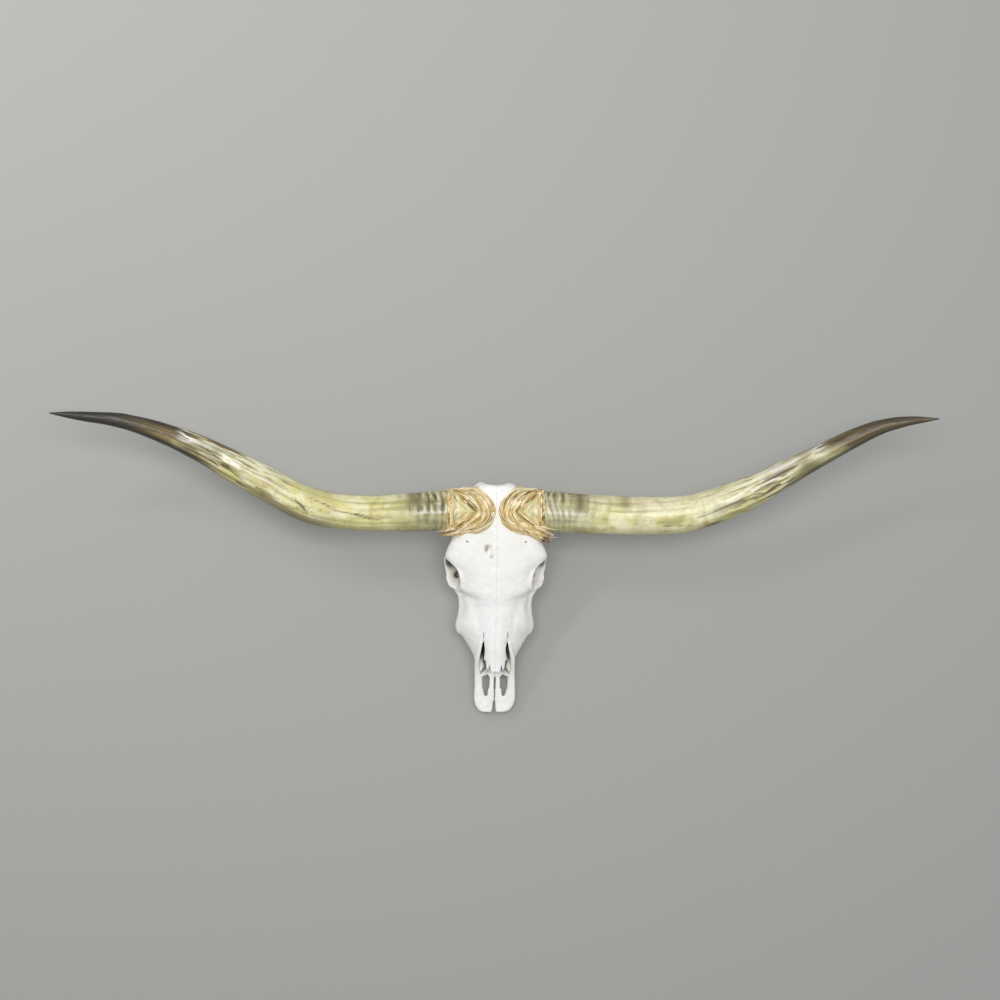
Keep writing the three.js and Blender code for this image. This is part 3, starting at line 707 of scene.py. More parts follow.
def nasal_region(wander):
    y = np.array([NASAL_TIP - 10, 178, 253, NASAL_BACK + 6], float)
    slab = [*zip(y, roof_line(y) + 9), *zip(y[::-1], roof_line(y[::-1]) - 12)]
    plan = [(-5, 90), (28, 90), (28.6, 253), (5, 288), (-5, NASAL_BACK)]
    return np.maximum(
        region_field([side_region(slab, -9, 40)], 0),
        region_field([plan_region(plan, 60, 260)], wander),
    )


REGIONS = {
    "premaxilla": [
        side_region([(-9, 5), (88, 5), (88, 45), (135, 70), (172, 104), (180, 150), (-9, 150)], -9, 60)
    ],
    "lacrimal": [plan_region([(29, 238), (52, 236), (90, 292), (70, 308), (44, 296)], 106, 230)],
    "zygomatic": [
        side_region(
            [(238, 86), (262, 66), (305, 72), (386, 100), (368, 138), (345, 138), (318, 104), (285, 118)],
            60, 130,
        )
    ],
    "frontal": [
        side_region(
            [(250, 146), (262, 128), (335, 134), (475, 134), (498, 186), (530, 186), (530, 300), (250, 300)],
            -9, 130,
        ),
        plan_region([(36, 398), (80, 398), (80, 512), (36, 512)], 130, 300),
    ],
    "temporal": [
        side_region([(368, 126), (386, 96), (416, 66), (418, 8), (470, 8), (473, 130), (396, 136)], 30, 130)
    ],
    "occipital": [
        side_region([(474, -8), (530, -8), (530, 190), (500, 190), (474, 170)], -9, 130),
        side_region([(402, 20), (476, 20), (476, 66), (402, 66)], -9, 34),
    ],
    "parietal": [side_region([(384, 84), (474, 84), (474, 200), (384, 200)], -9, 90)],
    "sphenoid": [side_region([(334, 10), (404, 10), (404, 200), (334, 200)], -9, 80)],
    "palatine": [plan_region([(-9, 258), (38, 258), (38, 340), (-9, 340)], 10, 62)],
}
UNPAIRED = {"vomer", "occipital", "parietal", "sphenoid"}


def parted_skull(field):
    """Each bone's own distance field over the half lattice. Neighbours lap a little along a suture."""
    wander = 1.8 * ripple(AXES, 14, 5) + 0.9 * ripple(AXES, 5, 6)
    bones = {}
    rest = field
    blade = side_region([(98, 51), (122, 66), (162, 82), (212, 90), (236, 51)], -9, 1.6)
    vomer = np.maximum(region_field([blade], 0), -60)
    regions = {"vomer": vomer, "nasal": nasal_region(wander)}
    for name in [*regions, *REGIONS]:
        region = regions[name] if name in regions else region_field(REGIONS[name], wander)
        bones[name] = np.maximum(rest, region)
        rest = np.maximum(rest, -LAP - region)
    bones["maxilla"] = rest
    return bones


# ---------- from lattice to surface ----------
EDGES = [(a, a | bit) for bit in (1, 2, 4) for a in range(8) if not a & bit]
CORNERS = np.array([[c & 1, c >> 1 & 1, c >> 2 & 1] for c in range(8)])


def surface(field, axes):
    """A closed skin of quads round the inside of a distance field."""
    field = np.pad(field, 1, constant_values=5.0)
    inside = field < 0
    shape = np.array(field.shape) - 1
    count = np.zeros(shape, np.int8)
    for dx, dy, dz in CORNERS:
        count += inside[dx : dx + shape[0], dy : dy + shape[1], dz : dz + shape[2]]
    active = (count > 0) & (count < 8)
    cells = np.argwhere(active)
    ids = np.full(shape, -1, np.int32)
    ids[active] = np.arange(len(cells))
    values = np.stack([field[tuple((cells + c).T)] for c in CORNERS], 1)
    total = np.zeros((len(cells), 3))
    hits = np.zeros(len(cells))
    for a, b in EDGES:
        fa, fb = values[:, a], values[:, b]
        crossed = (fa < 0) != (fb < 0)
        t = np.where(crossed, fa / np.where(crossed, fa - fb, 1), 0)
        place = CORNERS[a] + t[:, None] * (CORNERS[b] - CORNERS[a])
        total += place * crossed[:, None]
        hits += crossed
    places = (cells + total / hits[:, None] - 1) * STEP + [a[0] for a in axes]
    quads = []
    for axis in range(3):
        b, c = (axis + 1) % 3, (axis + 2) % 3
        low = np.moveaxis(inside, axis, 0)[:-1]
        high = np.moveaxis(inside, axis, 0)[1:]
        change = np.moveaxis(low != high, 0, axis)
        spots = np.argwhere(change)
        spots = spots[(spots[:, b] > 0) & (spots[:, c] > 0)]
        step_b, step_c = np.eye(3, dtype=int)[b], np.eye(3, dtype=int)[c]
        ring = [spots - step_b - step_c, spots - step_c, spots, spots - step_b]
        quad = np.stack([ids[tuple(r.T)] for r in ring], 1)
        outward = inside[tuple(spots.T)]
        quads.append(np.where(outward[:, None], quad, quad[:, ::-1]))
    quads = np.vstack(quads)
    return places, quads[(quads >= 0).all(1)]


def edges_of(faces):
    pairs = np.concatenate([faces[:, [i, (i + 1) % faces.shape[1]]] for i in range(faces.shape[1])])
    return np.unique(np.sort(pairs, axis=1), axis=0)


def largest(places, faces):
    """The biggest piece of a surface. A bit that only touches it along an edge isn't joined to it."""
    sides = np.sort(faces[:, [[0, 1], [1, 2], [2, 3], [3, 0]]].reshape(-1, 2), axis=1)
    key = sides[:, 0].astype(np.int64) * len(places) + sides[:, 1]
    order = np.argsort(key, kind="stable")
    owner = order // 4
    first = np.flatnonzero(np.diff(key[order], prepend=-1))
    count = np.diff(np.append(first, len(key)))
    one, other = owner[first[count == 2]], owner[first[count == 2] + 1]
    label = np.arange(len(faces))
    while True:
        low = np.minimum(label[one], label[other])
        after = label.copy()
        np.minimum.at(after, one, low)
        np.minimum.at(after, other, low)
        after = after[after]
        if (after == label).all():
            break
        label = after
    faces = faces[label == np.bincount(label).argmax()]
    used, number = np.unique(faces, return_inverse=True)
    return places[used], number.reshape(faces.shape)


def relaxed(places, faces, rounds):
    """The surface with the lattice's small steps eased out of it."""
    edges = edges_of(faces)
    ends = np.concatenate([edges, edges[:, ::-1]])
    degree = np.bincount(ends[:, 0], minlength=len(places))[:, None]
    for share in [0.55, -0.57] * rounds:
        mean = np.stack(
            [np.bincount(ends[:, 0], places[ends[:, 1], i], len(places)) for i in range(3)], 1
        ) / degree
        places = places + share * (mean - places)
    return places


def normals_of(places, faces):
    a, b, c, d = (places[faces[:, i]] for i in range(4))
    face = np.cross(c - a, d - b)
    total = np.stack(
        [sum(np.bincount(faces[:, k], face[:, i], len(places)) for k in range(4)) for i in range(3)], 1
    )
    return unit(total)


def boxed_mean(field, cells):
    """The mean over a cube of cells round each place of the lattice."""
    for axis in range(3):
        margins = [(cells + 1, cells) if k == axis else (0, 0) for k in range(3)]
        padded = np.pad(field, margins, mode="edge")
        total = np.cumsum(padded, axis=axis, dtype=np.float32)
        width = 2 * cells + 1
        high = np.take(total, np.arange(width, total.shape[axis]), axis=axis)
        low = np.take(total, np.arange(0, total.shape[axis] - width), axis=axis)
        field = (high - low) / width
    return field


def lattice_value(volume, axes, places):
    index = [
        np.clip(np.rint((places[:, i] - axes[i][0]) / STEP).astype(int), 0, volume.shape[i] - 1)
        for i in range(3)
    ]
    return volume[tuple(index)]


# Dents in the forehead and face: x, y, half sizes across and along, and depth.
DENTS = (
    (-18, 371, 6.5, 9, 5.5), (-10.5, 359, 4.5, 5, 3.5), (14, 268, 8, 12, 1.4), (-20, 292, 9, 8, 1.4),
    (-46, 250, 11, 24, 2.6), (48, 246, 12, 26, 3.0), (-52, 330, 14, 16, 1.0), (40, 340, 18, 12, 0.9),
    (-38, 206, 6, 24, 2.0), (39, 210, 6, 26, 2.3),
)


# Painted shade in the eye sockets and round the dent in the forehead, and a faint tint over the poll: side,
# middle, half sizes, and how much.
SHADE_AND_TINT_SPOTS = (
    # Painted shade in the eye sockets.
    ("both", (102, 345, 108), (9, 12, 26), 1.5),
    ("right", (93, 320, 106), (15, 30, 24), 0.75),
    ("left", (92, 320, 106), (14, 28, 24), 0.4),
    ("right", (85, 315, 108), (5.4, 6, 24), 2.2),
    ("left", (84, 317, 108), (4, 4, 24), 0.5),
    # Painted shade round the dent in the forehead.
    ("right", (23.5, 374, 205), (5, 9, 20), 0.95),
    ("right", (12, 358, 205), (6, 5.5, 20), 0.85),
    ("right", (17, 382, 205), (8, 4.6, 20), 0.6),
    # A faint tint over the poll.
    ("both", (0, 480, 215), (70, 50, 60), 0.22),
)


def shade_and_tint(p):
    """How dark each place is painted: painted shade in the eye sockets, round the forehead dent and deep in
    the nose, and a faint tint over the poll.
    """
    total = np.zeros(len(p))
    for side, middle, half, much in SHADE_AND_TINT_SPOTS:
        across = np.abs(p[:, 0]) if side == "both" else p[:, 0] * SIDES[side]
        off = (np.stack([across, p[:, 1], p[:, 2]], 1) - middle) / half
        total += much * np.exp(-(off**2).sum(1))
    # Painted shade deep in the nose, along its middle stretch and at its mouth.
    deep = ramp(roof_line(p[:, 1]) - 14 - p[:, 2], 0, 20) * ramp(p[:, 2], 45, 48)
    aside = np.abs(p[:, 0])
    along = ramp(p[:, 1], 106, 136) * (1 - ramp(p[:, 1], 235, 246))
    mouth = ramp(p[:, 1], 88, 98) * (1 - ramp(p[:, 1], 112, 136)) * ramp(aside, 11, 16)
    return total + deep * (1.9 * along + 0.62 * mouth) * (1 - ramp(aside, 27, 31))


def weathered(places, faces):
    """Bone out of true and pitted, as an old skull is: a slow lean that both walls of a suture
    share, and pits that only ever go in."""
    p = places.copy()
    for size, much, seed in ((95, 1.5, 1), (34, 0.8, 2), (13, 0.35, 3)):
        shift = np.stack([speckle(p, size, seed * 10 + i) for i in range(3)], 1)
        places = places + much * shift
    normal = normals_of(places, faces)
    grain = 0.5 + 0.5 * layered(p, 6, 41)
    pores = np.clip(speckle(p, 3.1, 47) - 0.35, 0, 1)
    porous = 1 - ramp(p[:, 1], 25, 70) + ramp(p[:, 1], 470, 510) * 0.6
    dent = 0.32 * grain + (0.25 + 0.9 * porous) * pores
    places = places - normal * dent[:, None]
    # A dent in the forehead beside the midline, and shallower ones round it.
    for x, y, wide, long, deep in DENTS:
        there = ((p[:, 0] - x) / wide) ** 2 + ((p[:, 1] - y) / long) ** 2
        places[:, 2] -= deep * np.exp(-there) * ramp(p[:, 2], 96, 122)
    places[:, 2] = np.where(p[:, 2] < 0.3, 0, np.maximum(places[:, 2], 0.15))
    return places


# ---------- making pieces ----------
def to_frame(places):
    """From the skull's own millimetres to the frame's metres."""
    lean = LEAN * (places[:, 2:] - LEAN_LEVEL) * [1, 0, 0]
    return (places + lean + [MIDLINE_TO_ORIGIN, -NOSE_TO_ORIGIN, 0]) / 1000


def ring_grid(rings, around, first=0):
    """The numbers of places made ring by ring, of their neighbours round it, and the quads between."""
    grid = np.arange(rings * around).reshape(rings, around) + first
    after = np.roll(grid, -1, axis=1)
    return grid, after, np.stack([grid[:-1], grid[1:], after[1:], after[:-1]], -1).reshape(-1, 4)


def make_mesh(name, places, *faces, tone=None, hollow=None, uv=None):
    mesh = bpy.data.meshes.new(name)
    mesh.vertices.add(len(places))
    mesh.vertices.foreach_set("co", to_frame(places).astype(np.float32).ravel())
    corners = np.concatenate([f.ravel() for f in faces]).astype(np.int32)
    mesh.loops.add(len(corners))
    mesh.loops.foreach_set("vertex_index", corners)
    sides = np.concatenate([np.full(len(f), f.shape[1]) for f in faces])
    mesh.polygons.add(len(sides))
    mesh.polygons.foreach_set("loop_start", (np.cumsum(sides) - sides).astype(np.int32))
    mesh.update(calc_edges=True)
    mesh.validate()
    mesh.shade_smooth()
    if tone is not None:
        layer = mesh.color_attributes.new("tone", "FLOAT_COLOR", "POINT")
        full = np.concatenate([tone, np.ones((len(tone), 1))], 1)
        layer.data.foreach_set("color", full.astype(np.float32).ravel())
    if hollow is not None:
        layer = mesh.attributes.new("hollow", "FLOAT", "POINT")
        layer.data.foreach_set("value", hollow.astype(np.float32))
    if uv is not None:
        layer = mesh.uv_layers.new(name="OFBake")
        layer.data.foreach_set("uv", uv[corners].astype(np.float32).ravel())
    return mesh


def add_piece(name, mesh, finish, slot, *nodes):
    piece = bpy.data.objects.new(name, mesh)
    bpy.context.scene.collection.objects.link(piece)
    mesh.materials.append(finish)
    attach(piece, "root")
    if nodes:
        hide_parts(*nodes)


# ---------- shader sums ----------
class Wire:
    """A value in a material, so that shader sums read as sums."""

    def __init__(self, finish, socket):
        self.finish, self.socket = finish, socket

    def _sum(self, operation, a, b):
        return self.finish.node("Math", {"operation": operation}, {0: a, 1: b})

    def __add__(self, other):
        return self._sum("ADD", self, other)

    def __sub__(self, other):
        return self._sum("SUBTRACT", self, other)

    def __rsub__(self, other):
        return self._sum("SUBTRACT", other, self)

    def __mul__(self, other):
        return self._sum("MULTIPLY", self, other)

    __radd__ = __add__
    __rmul__ = __mul__

    def between(self, low, high):
        """0 below low and 1 above high."""
        limits = {"Value": self, "From Min": low, "From Max": high}
        return self.finish.node("MapRange", {"interpolation_type": "SMOOTHSTEP"}, limits)


class Finish:
    """A material under construction."""

    def __init__(self, name):
        self.material = bpy.data.materials.new(name)
        self.material.use_nodes = True
        self.tree = self.material.node_tree
        self.shader = self.tree.nodes["Principled BSDF"]
        self.place = self.node("TexCoord", output="Object")

    def node(self, kind, settings=None, inputs=None, output=0):
        made = self.tree.nodes.new("ShaderNode" + kind)
        for name, value in (settings or {}).items():
            setattr(made, name, value)
        for name, value in (inputs or {}).items():
            self.feed(made.inputs[name], value)
        return Wire(self, made.outputs[output])

    def feed(self, socket, value):
        if isinstance(value, Wire):
            self.tree.links.new(value.socket, socket)
        elif socket.type == "RGBA" and len(value) == 3:
            socket.default_value = (*value, 1)
        else:
            socket.default_value = value

    def set(self, **values):
        for name, value in values.items():
            self.feed(self.shader.inputs[name.replace("_", " ")], value)

    def stretched(self, x, y, z):
        return self.node("Mapping", {}, {"Vector": self.place, "Scale": (x, y, z)})

    def noise(self, size, detail=4.0, rough=0.5, at=None, twist=0.0):
        """Cloudy noise with features about `size` millimetres across."""
        inputs = {"Vector": at or self.place, "Scale": 1000 / size, "Detail": detail}
        return self.node("TexNoise", {}, {**inputs, "Roughness": rough, "Distortion": twist})

    def pits(self, size):
        """Distance from scattered points, for pores."""
        inputs = {"Vector": self.place, "Scale": 1000 / size}
        return self.node("TexVoronoi", {}, inputs, output="Distance")

    def attribute(self, name, output):
        """A value or colour that the mesh holds at each of its places."""
        return self.node("Attribute", {"attribute_name": name}, output=output)

    def mixed(self, colour, *coats):
        """A colour with coats laid over it in turn, each a share and a colour on screen."""
        for share, over in coats:
            inputs = {0: share, 6: colour, 7: tint(*over)}
            colour = self.node("Mix", {"data_type": "RGBA"}, inputs, output=2)
        return colour

    def bump(self, height, strength, depth, under=None):
        inputs = {"Height": height, "Strength": strength, "Distance": depth / 1000}
        if under:
            inputs["Normal"] = under
        return self.node("Bump", {}, inputs)


def tint(r, g, b):
    """A colour picked on screen, as the light it stands for."""
    shares = (r / 255, g / 255, b / 255)
    return tuple(c / 12.92 if c <= 0.04045 else ((c + 0.055) / 1.055) ** 2.4 for c in shares)


def bone_finish():
    f = Finish("bleached_bone")
    hollow = f.attribute("hollow", "Fac")
    cloud = f.noise(60, 5, 0.6)
    blotch = f.noise(14, 5, 0.6, twist=0.4)
    fine = f.noise(2.2, 6, 0.7)
    fibre = f.noise(9, 5, 0.65, at=f.stretched(3.2, 0.5, 3.2))
    pores = f.pits(2.6).between(0.36, 0.08) * f.noise(11, 2).between(0.52, 0.66)
    colour = f.mixed(
        tint(250, 249, 245),
        (cloud.between(0.4, 0.68), (243, 241, 233)),
        (blotch.between(0.58, 0.76) * 0.35, (224, 220, 209)),
        (fibre.between(0.55, 0.78) * 0.25, (206, 203, 196)),
        # The hollow attribute darkens the bone: painted shade in creases and hollows, in the eye sockets,
        # round the forehead dent and deep in the nose, and a faint tint over the poll.
        (hollow.between(0.1, 0.75) * 0.5, (184, 174, 152)),
        (hollow.between(0.5, 1.3) * 0.85, (84, 72, 54)),
        (hollow.between(1.2, 2.0) * 0.85, (30, 27, 23)),
        (pores * 0.55, (140, 126, 105)),
    )
    height = fine * 0.35 + fibre * 0.65 - pores * 0.9
    f.set(
        Base_Color=colour,
        Roughness=0.5 + 0.22 * blotch + 0.1 * fine,
        Specular_IOR_Level=0.4,
        Subsurface_Weight=0.06,
        Subsurface_Radius=(0.004, 0.003, 0.002),
        Normal=f.bump(height, 0.55, 0.5, f.bump(blotch, 0.3, 1.0)),
    )
    return f.material


def tooth_finish():
    f = Finish("old_enamel")
    streak = f.noise(5, 5, 0.6, at=f.stretched(2.5, 2.5, 0.5))
    crack = f.noise(2.4, 6, 0.7, at=f.stretched(3, 3, 0.6))
    f.set(
        Base_Color=f.mixed(
            f.attribute("tone", "Color"),
            (streak.between(0.5, 0.72) * 0.6, (150, 118, 74)),
            (crack.between(0.6, 0.72) * 0.5, (84, 62, 40)),
        ),
        Roughness=0.22 + 0.3 * streak,
        Specular_IOR_Level=0.5,
        Coat_Weight=0.2,
        Coat_Roughness=0.15,
        Normal=f.bump(streak * 0.6 + crack * 0.4, 0.4, 0.4),
    )
    return f.material


def horn_finish():
    f = Finish("polished_horn")
    cloud = f.noise(26, 4, 0.55)
    fine = f.noise(1.6, 5, 0.6)
    streak = f.noise(4, 5, 0.65, at=f.stretched(0.22, 1, 1))
    f.set(
        Base_Color=f.mixed(
            f.attribute("tone", "Color"),
            (streak.between(0.56, 0.76) * 0.3, (132, 116, 66)),
            (fine.between(0.55, 0.8) * 0.14, (90, 78, 48)),
        ),
        Roughness=0.3 + 0.24 * cloud + 0.12 * fine,
        Specular_IOR_Level=0.5,
        Coat_Weight=0.2,
        Coat_Roughness=0.25,
        Normal=f.bump(fine * 0.5 + streak * 0.5, 0.4, 0.6),
    )
    return f.material


def skirt_finish():
    f = Finish("dried_keratin_fibre")
    cloud = f.noise(16, 4, 0.6)
    fine = f.noise(1.3, 5, 0.65)
    f.set(
        Base_Color=f.mixed(
            f.attribute("tone", "Color"),
            (cloud.between(0.42, 0.74) * 0.22, (168, 128, 66)),
            (fine.between(0.56, 0.8) * 0.16, (96, 72, 36)),
        ),
        Roughness=0.3 + 0.3 * cloud,
        Specular_IOR_Level=0.5,
        Coat_Weight=0.25,
        Coat_Roughness=0.2,
        Normal=f.bump(fine, 0.3, 0.3),
    )
    return f.material


# ---------- teeth: three premolars, then three molars ----------
# Each tooth's length along the row and its width.
TEETH = [(17, 13), (18, 15), (18, 17), (25, 20), (29, 21), (30, 19)]
tooth_row_x = profile((150, 46), (190, 54), (225, 58), (260, 59), (295, 54))
bite_height = profile((150, 9), (235, 3), (262, 0), (295, 0))
TOOTH_TOP = 40  # where the teeth end inside the jaw


def tooth(long, wide, middle, seed):
    """One cheek tooth: lobed walls with upright ridges, and a worn face with its enamel folds."""
    around, walls, lids = 72, 16, 12
    a = np.linspace(0, 2 * math.pi, around, endpoint=False)
    lobes = 2 if long > 20 else 1
    c, s = np.cos(a), np.sin(a)
    u = np.sign(c) * np.abs(c) ** 0.62
    v = np.sign(s) * np.abs(s) ** 0.62
    outer = v > 0
    waist = np.exp(-((u / 0.16) ** 2)) if lobes == 2 else np.exp(-((u / 0.1) ** 2)) * 0.35
    ribs = np.exp(-(((np.abs(u) - 0.5) / 0.1) ** 2)) + np.exp(-(((np.abs(u) - 0.92) / 0.08) ** 2))
    v = v * (1 - 0.2 * waist) + np.where(outer, 0.1 * ribs - 0.03, 0.03 * ribs) * np.sign(v)
    x = tooth_row_x(middle)
    bite = bite_height(middle)
    places, tones = [], []
    enamel, stain, dentine = (
        np.array(tint(*t)) for t in ((226, 216, 190), (150, 120, 78), (176, 148, 104))
    )
    for k in range(walls):
        t = k / (walls - 1)
        z = TOOTH_TOP + (bite + 0.6 - TOOTH_TOP) * t
        swell = 0.9 + 0.1 * math.sin(math.pi * min(t * 1.15, 1))
        across, along = x + v * wide / 2 * swell, middle + u * long * 0.485 * swell
        places.append(np.stack([across, along, np.full(around, z)], 1))
        groove = np.clip(waist + 0.5 * (1 - ribs), 0, 1)
        share = np.clip((1 - t) * 0.9 + 0.35 * groove - 0.2, 0, 1)[:, None]
        tones.append(enamel * (1 - share) + stain * share)
    for k in range(1, lids + 1):
        r = 1 - k / (lids + 1)
        pu, pv = u * r, v * r
        if lobes == 2:
            pit = np.exp(-(((np.abs(pu) - 0.48) / 0.17) ** 2) - ((pv - 0.25 * np.cos(pu * 5)) / 0.2) ** 2)
        else:
            pit = np.exp(-((pu / 0.3) ** 2) - ((pv + 0.05) / 0.16) ** 2)
        dish = 0.9 * (1 - abs(r - 0.86) / 0.14 if r > 0.72 else 0.0)
        depth = 1.0 - dish + 2.6 * pit
        rim = np.exp(-(((pit - 0.35) / 0.12) ** 2))
        depth = np.maximum(depth - 0.9 * rim, 0.05)
        places.append(
            np.stack([x + pv * wide * 0.45, middle + pu * long * 0.4365, bite + 0.1 + depth], 1)
        )
        share = np.clip(np.maximum(dish, rim), 0, 1)[:, None]
        tones.append((dentine * (1 - share) + enamel * share) * (1 - 0.5 * np.clip(pit, 0, 1))[:, None])
    count = len(places)
    middles = [[x, middle, TOOTH_TOP], [x, middle, places[-1][0, 2]]]
    places, tones = np.vstack([*places, middles]), np.vstack([*tones, tones[0][:1], tones[-1][:1]])
    grid = np.arange(count * around).reshape(count, around)
    after = np.roll(grid, -1, axis=1)
    faces = np.stack([grid[:-1], after[:-1], after[1:], grid[1:]], -1).reshape(-1, 4)
    root = np.stack([np.full(around, count * around), after[0], grid[0]], -1)
    face = np.stack([np.full(around, count * around + 1), grid[-1], after[-1]], -1)
    shift = np.stack([speckle(places, (9, 9, 30), seed), speckle(places, (9, 9, 30), seed + 5)], 1)
    places[:, :2] += 0.4 * shift
    return places, faces, np.vstack([root, face]), tones


def add_teeth(finish):
    for side, sign in SIDES.items():
        places, quads, triangles, tones = [], [], [], []
        start, total = TOOTH_ROW_FRONT, 0
        for i, (long, wide) in enumerate(TEETH):
            p, q, t, c = tooth(long, wide, start + long / 2, 3 + i + 20 * (sign > 0))
            start += long
            places.append(p * [sign, 1, 1])
            quads.append(q[:, ::-sign] + total)
            triangles.append(t[:, ::-sign] + total)
            tones.append(c)
            total += len(p)
        places, quads, triangles, tones = (np.vstack(a) for a in (places, quads, triangles, tones))
        mesh = make_mesh(f"teeth_{side}", places, quads, triangles, tone=tones)
        add_piece(f"teeth_{side}", mesh, finish, "bone")


# ---------- horns ----------
def coated(tone, coats):
    """The colours of many places under coats laid over them in turn, each a share and a colour."""
    for share, colour in coats:
        share = np.clip(share, 0, 1)[:, None]
        tone = tone * (1 - share) + np.array(tint(*colour)) * share
    return tone


def painted(colour, count, coats):
    """One colour at many places, with coats laid over it."""
    return coated(np.tile(np.array(tint(*colour)), (count, 1)), coats)


# The flaky stretch of each horn, as its middle and half length from the midline, and its cracks:
# start and end from the midline, turn at both, and half width as an angle.
FLAKY = {"right": (590, 190), "left": (590, 150)}
CRACKS = {
    "right": [
        (248, 372, 0.44, -0.16, 0.028), (405, 440, 0.42, 0.02, 0.08), (268, 330, 0.22, 0.02, 0.02),
        (590, 660, 0.1, -0.2, 0.05), (540, 600, 0.5, 0.3, 0.04), (350, 412, -0.2, -0.42, 0.022),
    ],
    "left": [
        (425, 585, 0.35, 0.1, 0.035), (580, 650, -0.35, -0.15, 0.05), (560, 625, 0.1, 0.3, 0.04),
        (350, 420, 0.55, 0.75, 0.018), (330, 372, 0.3, 0.42, 0.016),
    ],
}


CREAM, OLIVE, BROWN = (243, 238, 200), (132, 124, 74), (124, 100, 60)
DARK, BLACK, WHITE = (74, 60, 44), (34, 30, 26), (250, 247, 236)


def horn_tone(side, out, front, grain):
    """The horn's colour: olive rings, a cream and yellow middle, a flaky stretch and a dark tip."""
    right = side == "right"
    fibres, coarse, patch, blotch = (grain[k] for k in ("fibres", "coarse", "patch", "blotch"))
    ringed, wave, bands, flaky = (grain[k] for k in ("ringed", "rings", "bands", "flaky"))
    # How strong the ringed base is, and how dark the tip turns and the painted shade on the edges near it.
    strong, tip_dark_and_edge_shade = (1.0, 0.95) if right else (0.75, 0.45)
    noseward = ramp(front, -0.1, 0.35)
    flecked = 0.18 + (0.5 * bump_at(out, 400, 110) * ramp(front, -0.5, 0.1) if right else 0.0)
    coats = [
        (ramp(blotch, *((-0.15, 0.4) if right else (-0.4, 0.2))) * 0.85, CREAM),
        (ramp(-blotch, 0.25, 0.6) * 0.5 * ramp(front, -0.4, 0.4), OLIVE),
        (ramp(bands, 0.3, 0.7) * 0.2, BROWN),
        (ramp(-bands, 0.3, 0.7) * 0.5, CREAM),
        (ramp(coarse, 0.18, 0.5) * ramp(-front, 0.2, 0.8) * 0.5, (226, 206, 166)),
        (ramp(-fibres, 0.1, 0.5) * 0.5, OLIVE),
        (ramp(fibres, 0.25, 0.55) * 0.5, CREAM),
        (grain["scratches"] * 0.6, (116, 98, 54)),
        # The ringed base, dark on its poll side, grey and smoother on its nose side.
        (ringed * (0.6 + 0.25 * noseward) * strong, (164, 159, 120)),
        (ringed * (1 - noseward) * 0.45 * strong, (128, 122, 86)),
        (ringed * ramp(-wave, -0.1, 0.45) * (0.92 - 0.6 * noseward) * strong, (80, 78, 50)),
        (ringed * ramp(wave, 0.3, 0.8) * (0.75 - 0.45 * noseward), (228, 223, 188)),
        (ringed * ramp(coarse + 0.4 * patch, 0.1, 0.4) * 0.45 * strong, (96, 92, 60)),
        # A painted highlight along the top of the ringed base.
        (ringed * bump_at(front, 0.04, 0.15) * ramp(fibres + wave, -0.7, 0.3) * 0.7, (240, 236, 212)),
        (ramp(grain["flecks"], 0.3, 0.65) * flecked, (120, 110, 62)),
    ]
    if right:
        coats += [
            (bump_at(out, 178, 26) * ramp(-front, 0.1, 0.5) * 0.75, (112, 102, 68)),
            (bump_at(out, 372, 44) * 0.45, (176, 166, 108)),
        ]
    else:
        coats += [
            (bump_at(out, 178, 24) * ramp(-front, -0.2, 0.3) * 0.75, (112, 100, 68)),
            (bump_at(out, 278, 19) * ramp(-front, 0.0, 0.5) * 0.6, (150, 124, 78)),
        ]
    coats += [
        # The flaky stretch.
        (flaky * ramp(coarse, -0.1, 0.3) * 0.75, (184, 178, 98)),
        (flaky * ramp(-coarse, 0.1, 0.4) * 0.6, (150, 128, 76)),
        (flaky * ramp(patch, 0.06, 0.24) * 0.9 * ramp(-front, -0.5, 0.3), WHITE),
        (flaky * ramp(-patch, 0.1, 0.3) * 0.9, DARK),
        (flaky * ramp(-fibres, 0.1, 0.35) * 0.7, BROWN),
    ]
    tone = painted((220, 212, 144), len(out), coats)
    # Towards the tip: olive brown, then dark, with black edges that are painted shade, laid on at the end.
    spots = bump_at(out, *((668, 34) if right else (690, 28))) * ramp(patch + 0.5 * coarse, 0.0, 0.2)
    tip = painted((108, 92, 54), len(out), [
        (ramp(fibres, 0.0, 0.35) * 0.6, (158, 138, 88)),
        (ramp(-coarse, 0.0, 0.35) * 0.75, (70, 58, 38)),
        (ramp(-fibres, 0.1, 0.4) * 0.6, (58, 48, 32)),
        (ramp(out, 690, 830) * tip_dark_and_edge_shade, (34, 29, 25)),
        (spots * 0.95, WHITE),
    ])
    brownish = ramp(out + 26 * blotch - 30 * front, *((610, 700) if right else (665, 745)))[:, None]
    tone = tone * (1 - brownish) + tip * brownish
    if right:
        edge = bump_at(out, 650, 62) * ramp(front, -0.35, 0.1) * ramp(coarse, -0.5, 0.2)
        # Painted shade low on the nose side of the middle stretch.
        nose_edge_shade = ramp(front + 0.4 * coarse, 0.35, 0.8) * bump_at(out, 430, 140)
        marks = [
            (edge * 0.75, (108, 100, 64)),
            (bump_at(out, 625, 70) * ramp(-front, 0.25, 0.6) * ramp(patch, -0.3, 0.2) * 0.6, CREAM),
            (bump_at(out, 528, 84) * ramp(-front, 0.1, 0.5) * ramp(patch, -0.6, -0.1) * 0.7, CREAM),
            (bump_at(out, 610, 24) * (1 - ramp(abs(front + 0.1), 0.3, 0.6)) * 0.65, OLIVE),
        ]
        last = (nose_edge_shade * 0.85, (108, 98, 72))
    else:
        edge = bump_at(out, 665, 62) * ramp(front, -0.2, 0.3) * ramp(coarse, -0.5, 0.1)
